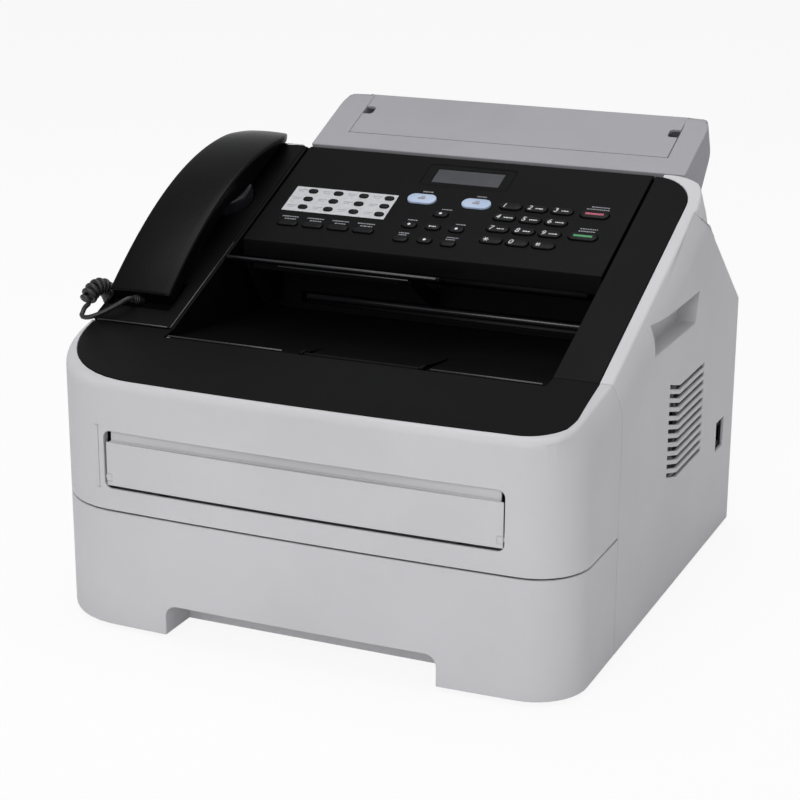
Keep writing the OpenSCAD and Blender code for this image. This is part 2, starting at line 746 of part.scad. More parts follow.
module tray_lift_plate() color("#9a9da1") place() {
    y0 = bin_front + 2;
    difference() {
        span([-bin_w / 2 + 12, y0, bin_z + wall + 5], [bin_w / 2 - 12, y0 + 110, bin_z + wall + 6.5]);
        span([-40, y0 + 20, 0], [40, y0 + 60, far]);
    }
    bar(-bin_w / 2 + fit_gap, bin_w / 2 - fit_gap, y0 + 110, bin_z + wall + 5.2, 2.5);
}

module pickup_roller() color("#3a3a3d") place() {
    bar(-20, 20, pickup_y, pickup_z, pickup_r);
    bar(-60, 60, pickup_y, pickup_z, 3);
    bar(60, 66, pickup_y, pickup_z, 6);
}

// ---- Print engine ----
engine_x = plate_x - fit_gap;
roll_x = engine_x - 30;
laser_y = [cave_y - 75, cave_y + 32];
laser_z = [plate_top - 40, plate_top];
drum_y = cave_y - 95;
drum_z = deck_low + plate_t + drum_r + 8;
fuser_y = back_y - 55;
fuser_z = deck_low + plate_t + heat_r + 1;
fuser_top = fuser_z + 2 * heat_r + fit_gap;

module laser_unit() color("#2c2e31") place() {
    difference() {
        span([-engine_x, laser_y[0], laser_z[0]], [engine_x, laser_y[1], laser_z[1]]);
        span([-engine_x + 4, laser_y[0] + 4, laser_z[0] + 4], [engine_x - 4, laser_y[1] - 4,
            laser_z[1] - 4]);
        span([-roll_x + 8, laser_y[0] - 1, laser_z[0] + 8], [roll_x - 8, laser_y[0] + 5,
            laser_z[0] + 14]);
    }
    translate([30, (laser_y[0] + laser_y[1]) / 2, laser_z[0] + 3.9]) cylinder(h = 12, r = 14);
    translate([30, (laser_y[0] + laser_y[1]) / 2, laser_z[0] + 15.8]) cylinder(h = 6, r = 18, $fn = 6);
}

module drum_unit() color("#3d5a50") place() {
    bar(-roll_x, roll_x, drum_y, drum_z, drum_r);
    bar(-engine_x, engine_x, drum_y, drum_z, 3);
    for (s = [-1, 1]) span([s * (engine_x - 12) - 3, drum_y - 86, deck_low + plate_t + fit_gap],
        [s * (engine_x - 12) + 3, drum_y + 16, drum_z + 10]);
    span([-engine_x + 10, drum_y - 86, deck_low + plate_t + fit_gap], [engine_x - 10, drum_y - 14,
        deck_low + plate_t + 3]);
    span([-engine_x + 10, drum_y + 14, drum_z - 4], [engine_x - 10, drum_y + 17, drum_z + 10]);
}

module toner_cartridge() color("#4a4a50") place() {
    x = engine_x - 16;
    low = deck_low + plate_t + 3 + fit_gap;
    difference() {
        across(-x, x, [[drum_y - 84, low], [drum_y - 30, low], [drum_y - 24, low + 12], [drum_y - 26,
            low + 34],
            [drum_y - 50, low + 44], [drum_y - 84, low + 44]]);
        across(-x + 3, x - 3, [[drum_y - 81, low + 3], [drum_y - 33, low + 3], [drum_y - 28, low + 14],
            [drum_y - 30, low + 31],
            [drum_y - 51, low + 41], [drum_y - 81, low + 41]]);
    }
    bar(-roll_x + 8, roll_x - 8, drum_y - drum_r - 9.2, drum_z, 8.4);
    bar(-x + 1, x - 1, drum_y - drum_r - 9.2, drum_z, 2.5);
    for (s = [-1, 1]) span([s * (x - 2) - 2, drum_y - 40, drum_z - 5], [s * (x - 2) + 2,
        drum_y - drum_r - 5, drum_z + 5]);
}

module fuser_unit() color("#5a4a40") place() {
    for (z = [fuser_z, fuser_top]) {
        bar(-roll_x + 5, roll_x - 5, fuser_y, z, heat_r);
        bar(-engine_x + 4, engine_x - 4, fuser_y, z, 4);
    }
    for (s = [-1, 1]) span([s * (engine_x - 12) - 6, fuser_y - 20, deck_low + plate_t + fit_gap],
        [s * (engine_x - 12) + 6, fuser_y + 20, fuser_top + heat_r + 5]);
    span([-engine_x + 6, fuser_y - 20, fuser_top + heat_r + 2], [engine_x - 6, fuser_y + 20,
        fuser_top + heat_r + 5]);
}

board_x = plate_x + plate_t + 3;
module circuit_boards() color("#2d6b45") place() {
    // main board on the right, with its connectors
    span([board_x, seam_y + 12, deck_low + plate_t + 4], [board_x + 1.6, fan_y - fan_r - 8,
        plate_top - 8]);
    for (i = [0:3]) span([board_x + 1.5, seam_y + 20 + i * 22, deck_low + plate_t + 14], [board_x + 9,
        seam_y + 32 + i * 22, deck_low + plate_t + 34]);
    for (y = [seam_y + 18, fan_y - fan_r - 14], z = [deck_low + plate_t + 10, plate_top - 14])
        bar(plate_x + plate_t + eps, board_x + eps, y, z, 2.5);
    // power supply at the rear right
    span([board_x, fan_y + fan_r + 10, deck_low + plate_t + 4], [board_x + 1.6, back_y - 34,
        plate_top - 8]);
    bar(board_x + 1.5, board_x + 14, fan_y + fan_r + 30, plate_top - 30, 9);
    for (y = [fan_y + fan_r + 16, back_y - 40]) bar(plate_x + plate_t + eps, board_x + eps, y,
        deck_low + plate_t + 10, 2.5);
}

gear_x = -plate_x - plate_t;
drive_y = fan_y - 20;
module main_drive() color("#c8c4b4") place() {
    // motor with a plate, and the gears on their studs
    span([gear_x - 3, drive_y - 100, deck_low + plate_t + 6], [gear_x - eps, drive_y + 30,
        plate_top - 10]);
    bar(gear_x - 24, gear_x - 3, drive_y, deck_low + 44, 20);
    for (g = [[-70, 24, 22], [-38, 44, 16], [-84, 56, 12]]) {
        bar(gear_x - 11, gear_x - 6, drive_y + g[0], deck_low + 4 + g[1], g[2]);
        bar(gear_x - 14, gear_x - 2.9, drive_y + g[0], deck_low + 4 + g[1], 3);
    }
}

module fan_rotor() color("#202225") place() {
    bar(fan_x + 1, fan_x + 7.5, fan_y, fan_z, 11);
    bar(fan_x + 1, fan_x + 14, fan_y, fan_z, 1.5);
    for (i = [0:6]) translate([fan_x + 4.25, fan_y, fan_z]) rotate([i * 360 / 7, 0, 0]) rotate([0, 0, 0])
        translate([0, 10, 0]) rotate([0, 35, 0]) translate([-0.8, 0, -3.5]) cube([1.6, fan_r - 11, 7]);
}

// ---- Document feeder ----
scanner_s = [28, panel_l - 18];
scanner_h = [-panel_t - 26, -panel_t - 3];
scanner_low = slope_z(panel_y + scanner_s[0] * cos(slope_tilt)) - 40;
feed_s = 70;
feed_h = -panel_t - 3 - feed_r;

module scanner_unit() color("#26272a") place() {
    difference() {
        on_panel() span([-tray_x + fit_gap, scanner_s[0], scanner_h[0]], [tray_x - fit_gap,
            scanner_s[1], scanner_h[1] - 1]);
        on_panel() span([-tray_x + 6, scanner_s[0] + 3, scanner_h[0] + 4], [tray_x - 6,
            feed_s - feed_r - 4, scanner_h[1] - 3]);
        on_panel() span([-70, feed_s - feed_r - 1, scanner_h[0] + 3], [70, feed_s + feed_r + 1, far]);
        on_panel() span([-110, scanner_s[0] + 12, scanner_h[0] + 3], [110, scanner_s[0] + 24, far]);
        feed_axle(run_gap);
    }
}
module feed_axle(g) {
    on_panel() translate([-76, feed_s, feed_h]) rotate([0, 90, 0]) cylinder(h = 152, r = 2.5 + g);
}
module document_feed_roller() color("#4b4b4f") place() {
    on_panel() for (x = [-50, -6, 38]) translate([x, feed_s, feed_h]) rotate([0, 90,
        0]) cylinder(h = 14, r = feed_r);
    feed_axle(0);
}

feeder_x0 = feeder_x - feeder_w / 2;
feeder_x1 = feeder_x + feeder_w / 2;
rest_x = feeder_x + 2;
module on_feeder() { on_slope(slope_back) children(); }
feeder_skin = 3;
feeder_edge_h = 21;
rest_axle = [feeder_l - 5, -3.2];
rest_s0 = feeder_l - 5 - rest_l;
rest_t = 2.6;
seat_d = 11;
guide_top = 2 * rest_axle[1] - 2 * fit_gap;
rear_x = side_x - front_r - 6 - fit_gap;
slab_low = slope_z(slope_back) - 36;

// The slab's outline in the slope frame, as (s, h)
function feeder_outline(g) = concat(
    [[g + seam, -g], [g + seam, -44 + g]],
    [[16, -44 + g], [feeder_l - 10, -feeder_edge_h + g]],
    arc([feeder_l - feeder_nose, -feeder_nose], feeder_nose - g, -60, 90, 8));

module feeder_block(x0, x1, points) {
    on_feeder() translate([x0, 0, 0]) rotate([90, 0, 90]) linear_extrude(x1 - x0) polygon(points);
}

module feeder_housing() color(grey_white) place() {
    difference() {
        union() {
            difference() {
                feeder_block(feeder_x0, feeder_x1, feeder_outline(0));
                feeder_block(feeder_x0 + wall, feeder_x1 - wall, feeder_outline(feeder_skin));
            }
            on_feeder() span([rest_x - rest_w / 2 - wall - 1, rest_s0 - wall, -seat_d - wall],
                [rest_x + rest_w / 2 + wall + 1, feeder_l - 8, -1]);
            for (s = [-1, 1]) on_feeder() span([rest_x + s * (rest_w / 2 + 3) - 2.5, feeder_l - 14, -14],
                [rest_x + s * (rest_w / 2 + 3) + 2.5, feeder_l - 1.5, -1.5]);
        }
        // seat of the fold-out support and of the paper guides
        on_feeder() span([rest_x - rest_w / 2 - fit_gap, rest_s0 - fit_gap, -seat_d],
            [rest_x + rest_w / 2 + fit_gap, feeder_l + 1, far]);
        rest_pin(run_gap);
    }
    // rear wall and sloping back below the slab, between the side covers
    across(-rear_x, rear_x, [[slope_back + seam, lean_z(slope_back)], [slope_back + seam, slab_low],
        [slope_back + seam + wall, slab_low], [slope_back + seam + wall, lean_z(slope_back + wall)],
        [back_y, back_h], [back_y, back_top + seam], [back_y - wall, back_top + seam], [back_y - wall,
            back_h - wall],
        [slope_back + seam + wall, lean_z(slope_back) - 2 * wall], [slope_back + seam,
            lean_z(slope_back) - 2 * wall]]);
}

module rest_pin(g) {
    on_feeder() translate([rest_x - rest_w / 2 - 4, rest_axle[0], rest_axle[1]]) rotate([0, 90, 0])
        cylinder(h = rest_w + 8, r = pin_r + g);
}
module document_support() color(grey_white) place() {
    on_feeder() {
        difference() {
            span([rest_x - rest_w / 2, rest_s0, -rest_t], [rest_x + rest_w / 2, rest_axle[0], 0]);
            for (x = [-1, 1]) translate([rest_x + x * rest_w / 2, rest_s0 + rest_l * 0.6, -far / 2])
                linear_extrude(far) soft_square(16, 10, 3);
        }
        translate([rest_x - rest_w / 2, rest_axle[0], rest_axle[1]]) rotate([0, 90, 0])
            cylinder(h = rest_w, r = -rest_axle[1]);
    }
    rest_pin(0);
}

// A paper guide that slides on the floor of the seat, under the folded support
module paper_guide(side) {
    on_feeder() translate([feeder_x + side * guide_span / 2, 0, 0]) {
        span([-1.5, rest_s0 + 3, -seat_d + fit_gap], [1.5, rest_s0 + rest_l - 16, guide_top]);
        span([min(0, -side * 14), rest_s0 + 3, -seat_d + fit_gap],
            [max(0, -side * 14), rest_s0 + rest_l - 16, -seat_d + 1.5]);
    }
}
module document_guide_left() color(black) place() paper_guide(-1);
module document_guide_right() color(black) place() paper_guide(1);

// ---- Back cover ----
back_w = 2 * rear_x - 2 * fit_gap;
back_pin_r = 0.8;
module back_pins(g) {
    bar(-rear_x - 4, rear_x + 4, back_y - wall / 2, back_low, back_pin_r + g);
}
back_low = deck_low + 14;
back_top = back_h - 8;
module back_cover() color(white) place() {
    difference() {
        span([-back_w / 2, back_y - wall, back_low], [back_w / 2, back_y, back_top]);
        span([-30, back_y - wall / 2, back_top - 10], [30, far, back_top + 1]);
    }
    bar(-back_w / 2, back_w / 2, back_y - wall / 2, back_low, wall / 2);
    back_pins(0);
}

// ---- Handset and cradle ----
cradle_s = [0.6, 230];
cradle_in = -tray_x - wall - fit_gap;
hand_jack = [-side_x, 14, 100];
hand_x = -side_x - handset_out + handset_w / 2;
ear_x = hand_x + 4;
ear_s = 152;
ear_seat = 3;
mouth_s = [19, 50];
mouth_seat = 4.4;
hook_s = ear_s - 8;

// The handset's upper line in the slope frame, as (s, h), from the mouth end to the ear end
function hand_top(t) = cubic([25, 8], [80, 25], [160, 43], [238, 3.6], t);
function hand_turn(t) = let (d = hand_top(t + 0.01) - hand_top(t - 0.01)) d / norm(d);
function ramp(a, b, x) = let (u = min(1, max(0, (x - a) / (b - a)))) u * u * (3 - 2 * u);
ear_floor = 8;
function hand_depth(t) = let (p = hand_top(t))
    handset_t + ramp(115, 160, p[0]) * (min(max(p[1] - ear_floor, 6), p[1] - 0.8) - handset_t);

// A closed skin through rings of equally many points
module skin(rings) {
    m = len(rings[0]);
    n = len(rings);
    polyhedron([for (r = rings) each r], concat(
        [[for (j = [0:m - 1]) m - 1 - j]],
        [for (i = [0:n - 2], j = [0:m - 1]) let (k = (j + 1) % m) [i * m + j, i * m + k,
            (i + 1) * m + k, (i + 1) * m + j]],
        [[for (j = [0:m - 1]) (n - 1) * m + j]]));
}
function soft_ring(w, t, r) = concat(
    arc([w / 2 - r, -r], r, 90, 0, 3), arc([w / 2 - r / 2, -t + r / 2], r / 2, 0, -90, 2),
    arc([-w / 2 + r / 2, -t + r / 2], r / 2, 270, 180, 2), arc([-w / 2 + r, -r], r, 180, 90, 3));
hand_steps = 28;

module handset() color(black) place() {
    on_top() {
        skin([for (i = [hand_steps:-1:0]) let (t = i / hand_steps, p = hand_top(t), u = hand_turn(t),
            end = 1 - 0.3 * pow(max(0, t - 0.9) * 10, 2))
            [for (q = soft_ring(handset_w * end, hand_depth(t), 3)) [hand_x + q[0], p[0] - q[1] * u[1],
                p[1] + q[1] * u[0]]]]);
        translate([ear_x, ear_s, -ear_seat + fit_gap]) cylinder(h = ear_floor + ear_seat + 6,
            r = ear_d / 2);
    }
}

module handset_cradle() color(black) place() on_top() {
    difference() {
        union() {
            difference() {
                cradle_slab(0, -cradle_t, 0);
                cradle_slab(wall, -far, -wall);
            }
            translate([ear_x, ear_s, -ear_seat - wall]) cylinder(h = wall + 1, r = ear_d / 2 + 3);
            span([hand_x - handset_w / 2 - 3, mouth_s[0] - 2, -mouth_seat - wall],
                [hand_x + handset_w / 2 + 3, mouth_s[1] + 2, -1]);
        }
        translate([ear_x, ear_s, -ear_seat]) cylinder(h = far, r = ear_d / 2 + 0.6);
        span([hand_x - handset_w / 2 - 0.6, mouth_s[0], -mouth_seat], [hand_x + handset_w / 2 + 0.6,
            mouth_s[1], far]);
        translate([ear_x, hook_s, -far / 2]) cylinder(h = far, r = 4 + fit_gap);
    }
}
module cradle_slab(g, low, high) {
    r = 14;
    translate([0, 0, low]) linear_extrude(high - low) polygon(concat(
        [[cradle_in - g, cradle_s[0] + g], [cradle_in - g, cradle_s[1] - g]],
        arc([-extent_left + r, cradle_s[1] - r], r - g, 90, 180),
        arc([-extent_left + 4, cradle_s[0] + 4], 4 - g, 180, 270)));
}

hook_rise = 3;
module hook_switch() color("#2a2a2c") place() on_top() translate([ear_x, hook_s, 0]) {
    low = -ear_seat - wall - hook_rise - 4;
    translate([0, 0, low]) cylinder(h = -ear_seat - low, r = 4);
    translate([0, 0, low]) cylinder(h = 4 - fit_gap, r = 6);
}

// ---- Handset cord: a lead, a curly length and a lead to its jack ----
hand_face = hand_top(0) - hand_turn(0.01)[0] * [0, handset_t / 2] + [hand_turn(0.01)[1] * handset_t /
    2, 0] - lead_gap * hand_turn(0.01);
hand_exit = [-178, seam_y + hand_face[0] * cos(slope_tilt) - hand_face[1] * sin(slope_tilt),
    seam_z + hand_face[0] * sin(slope_tilt) + hand_face[1] * cos(slope_tilt)];
lead_route = [[-180, -81, 199], [-186, -88, 195], [-195, -94, 190], [-203, -97, 187], [-209, -96, 187],
    [-210, -92, 190]];
coil_route = [[-210, -92, 190], [-210, -86, 197], [-210, -76, 202], [-210, -64, 200], [-210, -54, 188],
    [-210, -48, 164], [-210, -45, 130], [-210, -38, 98], [-210, -24, 76], [-210, -8, 70], [-210, 6, 76]];
tail_route = [[-210, 6, 76], [-210, 13, 84], [-207, 16, 92], [-200, 15, 98], [-192, 14, 100]];

function hermite(p, i, t) = let (n = len(p) - 1, a = p[i], b = p[i + 1],
    u = (p[min(n, i + 1)] - p[max(0, i - 1)]) / 2, v = (p[min(n, i + 2)] - p[i]) / 2)
    (2 * t * t * t - 3 * t * t + 1) * a + (t * t * t - 2 * t * t + t) * u
    + (-2 * t * t * t + 3 * t * t) * b + (t * t * t - t * t) * v;
function route(p, k) = concat([for (i = [0:len(p) - 2], j = [0:k - 1]) hermite(p, i, j / k)],
    [p[len(p) - 1]]);
function tube_ring(c, d, r, n) = let (w = d / norm(d), a = abs(w[2]) > 0.9 ? [1, 0, 0] : [0, 0, 1],
    u = cross(w, a) / norm(cross(w, a)), v = cross(w, u))
    [for (j = [0:n - 1]) c + r * (cos(j * 360 / n) * u + sin(j * 360 / n) * v)];
module tube(p, r, n) {
    e = len(p) - 1;
    skin([for (i = [0:e]) tube_ring(p[i], p[min(e, i + 1)] - p[max(0, i - 1)], r, n)]);
}
jack_face = -side_x - 1;

module handset_cord() color("#3c3c40") place() {
    tube(route(concat([hand_exit], lead_route), 2), lead_d / 2, 8);
    tube(route(concat(tail_route, [[jack_face, hand_jack[1], hand_jack[2]]]), 2), lead_d / 2, 8);
}
module handset_cord_coil() color("#3c3c40") place() tube(route(coil_route, 2), coil_d / 2, 12);

// ---- Control panel ----
// Places of the keys on the panel, as (x, s) from the middle of its front edge
touch_at = [for (r = [0:2], c = [0:3]) [-107 + 20.3 * c, 64 - 10 * r]];
function_at = [for (c = [0:3]) [-110 + 20 * c, 23]];
mode_at = [[-22, 67.5], [20, 67.5]];
nav_at = [-1, 35];
nav_step = [18, 16];
clear_at = [-19, 18];
menu_at = [17, 18];
dial_at = [46, 68];
dial_step = [19.2, 13.8];
stop_at = [108.4, 67.5];
start_at = [108.4, 41];
// Sizes of the key caps
touch_key = [7.5, 5];
function_key = [16, 5.5];
mode_key = [22, 11];
nav_key = [11, 6.5];
dial_key = [16.5, 7.5];
action_key = [21, 8.5];
lcd_at = [2, 99];
lcd_rim = [8, 5];
panel_gap = 0.3;
panel_wall = 2.5;
function dial_place(i) = dial_at + [dial_step[0] * (i % 3), -dial_step[1] * floor(i / 3)];

// Every key: its place and its size
KEYS = concat([for (p = touch_at) [p, touch_key]], [for (p = function_at) [p, function_key]],
    [for (p = mode_at) [p, mode_key]],
    [for (d = [[0, 1], [0, -1], [-1, 0], [1, 0], [0, 0]]) [nav_at + [d[0] * nav_step[0],
        d[1] * nav_step[1]], nav_key]],
    [[clear_at, nav_key], [menu_at, nav_key]], [for (i = [0:11]) [dial_place(i), dial_key]],
    [[stop_at, action_key], [start_at, action_key]]);

// The panel's outline in the slope frame, as (s, h)
lip = panel_t * [sin(slope_tilt), cos(slope_tilt)];
module panel_block(x, g) {
    translate([-x, 0, 0]) rotate([90, 0, 90]) linear_extrude(2 * x) polygon(concat(
        [[g, -g], [-lip[0] + g, -lip[1] + g], [panel_l - 14, -lip[1] + g], [panel_l - 5, -6 + g]],
        arc([panel_axle_s, -3], 3 - g, -60, 90, 6)));
}

module control_panel() color(black) place() {
    on_panel() difference() {
        panel_block(panel_x, 0);
        difference() {
            panel_block(panel_x - panel_wall, panel_wall);
            span([-panel_x, panel_l - 11, -far], [panel_x, far, far]);
        }
        for (k = KEYS) translate(k[0]) pill(k[1][0] + 2 * panel_gap, k[1][1] + 2 * panel_gap,
            -panel_wall - 1, 1);
        translate([lcd_at[0], lcd_at[1], -panel_wall - 1]) linear_extrude(far) square([lcd_w,
            lcd_h] + [2, 2] * panel_gap, center = true);
        translate([lcd_at[0], lcd_at[1], -0.5]) linear_extrude(far) soft_square(lcd_w + 2 * lcd_rim[0],
            lcd_h + 2 * lcd_rim[1], 3);
    }
    on_panel() for (s = [-1, 1]) translate([s * (panel_x + 1.5), panel_axle_s, -3]) rotate([0, 90,
        0]) cylinder(h = 6, r = 2, center = true);
}

module display_window() color("#8d93a8") place() on_panel() translate([lcd_at[0], lcd_at[1], 0]) {
    translate([0, 0, -panel_wall]) linear_extrude(panel_wall - 0.8) square([lcd_w, lcd_h], center = true);
    translate([0, 0, -panel_wall - 1.5]) linear_extrude(1.5) square([lcd_w + 4, lcd_h + 4],
        center = true);
}

// A key cap with the flange that keeps it in the panel
module key(at, size) {
    place() on_panel() translate(at) {
        pill(size[0], size[1], -panel_wall - 1.5, key_up);
        pill(size[0] + 2, size[1] + 2, -panel_wall - 1.5, -panel_wall - fit_gap);
    }
}
module dial(i) color("#2b2b2e") key(dial_place(i), dial_key);

module one_touch_keys() color("#161618") for (p = touch_at) key(p, touch_key);
module function_keys() color("#2b2b2e") for (p = function_at) key(p, function_key);
module mode_key_fax() color("#b9cde6") key(mode_at[0], mode_key);
module mode_key_copy() color("#b9cde6") key(mode_at[1], mode_key);
module nav_up() color("#2b2b2e") key(nav_at + [0, nav_step[1]], nav_key);
module nav_down() color("#2b2b2e") key(nav_at - [0, nav_step[1]], nav_key);
module nav_left() color("#2b2b2e") key(nav_at - [nav_step[0], 0], nav_key);
module nav_right() color("#2b2b2e") key(nav_at + [nav_step[0], 0], nav_key);
module nav_ok() color("#2b2b2e") key(nav_at, nav_key);
module clear_key() color("#2b2b2e") key(clear_at, nav_key);
module menu_key() color("#2b2b2e") key(menu_at, nav_key);
module stop_key() color("#8a2f3c") key(stop_at, action_key);
module start_key() color("#2f7a45") key(start_at, action_key);
module dial_1() dial(0);
module dial_2() dial(1);
module dial_3() dial(2);
module dial_4() dial(3);
module dial_5() dial(4);
module dial_6() dial(5);
module dial_7() dial(6);
module dial_8() dial(7);
module dial_9() dial(8);
module dial_star() dial(9);
module dial_0() dial(10);
module dial_hash() dial(11);

chassis();
left_cover();
right_cover();
top_cover();
back_cover();
rubber_feet();
modular_jacks();
front_cover();
front_cover_trim();
manual_feed_flap();
paper_tray();
tray_lift_plate();
pickup_roller();
laser_unit();
drum_unit();
toner_cartridge();
fuser_unit();
circuit_boards();
main_drive();
fan_rotor();
scanner_unit();
document_feed_roller();
feeder_housing();
document_support();
document_guide_left();
document_guide_right();
document_output_flap();
output_flap();
handset_cradle();
hook_switch();
handset();
handset_cord();
handset_cord_coil();
control_panel();
display_window();
one_touch_keys();
function_keys();
mode_key_fax();
mode_key_copy();
nav_up();
nav_down();
nav_left();
nav_right();
nav_ok();
clear_key();
menu_key();
dial_1();
dial_2();
dial_3();
dial_4();
dial_5();
dial_6();
dial_7();
dial_8();
dial_9();
dial_star();
dial_0();
dial_hash();
stop_key();
start_key();
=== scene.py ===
# Desktop laser fax machine with a side handset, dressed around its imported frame.
# Everything is in metres in the frame's own axes: +X right, +Y back, +Z up.
import json
import math
import bmesh
import bpy
import numpy as np
from mathutils import Matrix, Vector
from mathutils.bvhtree import BVHTree


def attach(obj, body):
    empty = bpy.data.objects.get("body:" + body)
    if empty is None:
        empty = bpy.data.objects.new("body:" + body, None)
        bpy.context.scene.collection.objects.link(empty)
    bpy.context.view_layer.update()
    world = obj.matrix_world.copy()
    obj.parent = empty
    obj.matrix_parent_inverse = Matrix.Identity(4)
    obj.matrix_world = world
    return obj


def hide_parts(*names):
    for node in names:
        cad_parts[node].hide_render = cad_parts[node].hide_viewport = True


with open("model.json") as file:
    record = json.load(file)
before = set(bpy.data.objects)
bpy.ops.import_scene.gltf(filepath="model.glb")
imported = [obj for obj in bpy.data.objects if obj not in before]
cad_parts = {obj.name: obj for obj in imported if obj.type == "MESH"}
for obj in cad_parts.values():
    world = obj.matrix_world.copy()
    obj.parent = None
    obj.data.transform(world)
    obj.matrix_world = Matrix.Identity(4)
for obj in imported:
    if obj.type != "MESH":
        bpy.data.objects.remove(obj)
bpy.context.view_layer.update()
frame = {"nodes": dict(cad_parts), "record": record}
bpy.context.scene.view_settings.view_transform = "Standard"
print("frame loaded")

# where things are, in millimetres from the middle of the body
mm = 0.001
bodyShift = np.array((9.0, -3.20125, 0.0))  # the body stands this far from the frame's middle
body = {"seamY": -95.0, "seamZ": 185.4421, "tilt": 23.5, "panelY": 4.0}
tilt = math.radians(body["tilt"])


def slopeZ(y):  # the height of the sloping top at this depth
    return body["seamZ"] + (y - body["seamY"]) * math.tan(tilt)


def placed(points):  # body millimetres to frame metres
    return (np.asarray(points, float) + bodyShift) * mm


def onSlope(points, y0):  # (x, up the slope, out of it), measured from the slope's point at y0
    p = np.asarray(points, float)
    y = y0 + p[..., 1] * math.cos(tilt) - p[..., 2] * math.sin(tilt)
    z = slopeZ(y0) + p[..., 1] * math.sin(tilt) + p[..., 2] * math.cos(tilt)
    return placed(np.stack([p[..., 0], y, z], -1))


def onPanel(points):
    return onSlope(points, body["panelY"])


def onTop(points):
    return onSlope(points, body["seamY"])


def clamped(value):
    return min(1.0, max(0.0, value))


# camera
camera = {"azimuth": 23.44, "elevation": 17.39, "roll": 0.33, "distance": 1443.2,
          "target": (-4.07, 0.0, 124.87), "lens": 91.965, "sensor": 36.0, "farEnd": 50.0,
          "shift": (-0.00909, 0.00051)}


def setCamera():
    az, el, roll = (math.radians(camera[k]) for k in ("azimuth", "elevation", "roll"))
    back = Vector((math.sin(az) * math.cos(el), -math.cos(az) * math.cos(el), math.sin(el)))
    right = (-back).cross(Vector((0, 0, 1))).normalized()
    up = right.cross(-back)
    turnedRight = right * math.cos(roll) + up * math.sin(roll)
    turnedUp = up * math.cos(roll) - right * math.sin(roll)
    eye = Vector(placed(camera["target"])) + back * camera["distance"] * mm
    data = bpy.data.cameras.new("camera")
    data.sensor_width = camera["sensor"]
    data.lens = camera["lens"]
    data.shift_x, data.shift_y = camera["shift"]
    data.clip_end = camera["farEnd"]
    eyeObject = bpy.data.objects.new("camera", data)
    turn = Matrix((turnedRight, turnedUp, back)).transposed().to_4x4()
    eyeObject.matrix_world = Matrix.Translation(eye) @ turn
    bpy.context.scene.collection.objects.link(eyeObject)
    bpy.context.scene.camera = eyeObject


setCamera()
print("camera set")


# shader maths
class Wire:  # a socket that takes part in sums
    def __init__(self, nodes, socket):
        self.nodes = nodes
        self.socket = socket

    def sum(self, operation, first, second):
        return self.nodes.add("ShaderNodeMath", {"operation": operation}, {0: first, 1: second})

    def __add__(self, other):
        return self.sum("ADD", self, other)

    def __radd__(self, other):
        return self.sum("ADD", other, self)

    def __sub__(self, other):
        return self.sum("SUBTRACT", self, other)

    def __rsub__(self, other):
        return self.sum("SUBTRACT", other, self)

    def __mul__(self, other):
        return self.sum("MULTIPLY", self, other)

    def __rmul__(self, other):
        return self.sum("MULTIPLY", other, self)

    def atLeast(self, other):
        return self.sum("MAXIMUM", self, other)


def tone(code):  # a written colour such as "d2d0d4" as the linear colour that shaders use
    parts = [int(code[i:i + 2], 16) / 255 for i in (0, 2, 4)]
    return tuple(c / 12.92 if c <= 0.04045 else ((c + 0.055) / 1.055) ** 2.4 for c in parts) + (1.0,)


class Nodes:  # a tree of nodes, and the one method that adds to it
    def __init__(self, owner):
        owner.use_nodes = True
        self.tree = owner.node_tree
        self.tree.nodes.clear()

    def feed(self, node, key, value):
        socket = node.inputs[key]
        if isinstance(value, Wire):
            self.tree.links.new(value.socket, socket)
        else:
            socket.default_value = value

    def add(self, kind, settings, inputs, output=0):
        node = self.tree.nodes.new(kind)
        for key, value in settings.items():
            setattr(node, key, value)
        for key, value in inputs.items():
            self.feed(node, key, value)
        return Wire(self, node.outputs[output])

    def ramp(self, value, low, high):  # 0 at low, 1 at high, smooth between
        return self.add("ShaderNodeMapRange", {"interpolation_type": "SMOOTHSTEP"},
                        {"Value": value, "From Min": low, "From Max": high})


class Finish(Nodes):  # one material and the nodes in it
    def __init__(self, name):
        self.material = bpy.data.materials.new(name)
        super().__init__(self.material)
        self.shader = self.tree.nodes.new("ShaderNodeBsdfPrincipled")
        self.output = self.tree.nodes.new("ShaderNodeOutputMaterial")
        self.tree.links.new(self.shader.outputs[0], self.output.inputs[0])
        self.place = self.add("ShaderNodeTexCoord", {}, {}, "Object")

    def set(self, **inputs):
        for key, value in inputs.items():
            self.feed(self.shader, key.replace("_", " "), value)

    def noise(self, scale, detail=3.0, rough=0.5, where=None):
        return self.add("ShaderNodeTexNoise", {}, {"Vector": where or self.place, "Scale": scale,
                                                   "Detail": detail, "Roughness": rough})

    def mix(self, share, first, second):
        return self.add("ShaderNodeMix", {"data_type": "RGBA"}, {0: share, 6: first, 7: second}, 2)

    def bump(self, height, depth, strength):
        return self.add("ShaderNodeBump", {}, {"Height": height, "Distance": depth, "Strength": strength})


finishes = {}


def mouldedPlastic(name, look):
    # injection moulded plastic: spark-eroded grain, flow clouds and handling haze
    finish = Finish(name)
    main, shade, speck = (tone(code) for code in look["tones"])
    size, depth, power = look["grain"]
    middle, spread = look["rough"]
    clouds = finish.noise(look["clouds"], 4.0, 0.55)
    haze = finish.noise(look["clouds"] * 3.1, 5.0, 0.6)
    grain = finish.noise(size, 2.0, 0.6)
    pits = finish.noise(size * 2.3, 1.0, 0.5)
    colour = finish.mix(finish.ramp(clouds, 0.35, 0.7), main, shade)
    colour = finish.mix(finish.ramp(grain, 0.52, 0.8) * look["speckle"], colour, speck)
    finish.set(Base_Color=colour, Roughness=middle + (haze - 0.5) * spread,
               Normal=finish.bump(grain + pits * 0.6, depth, power),
               Specular_IOR_Level=look.get("gleam", 0.4))
    finishes[name] = finish.material


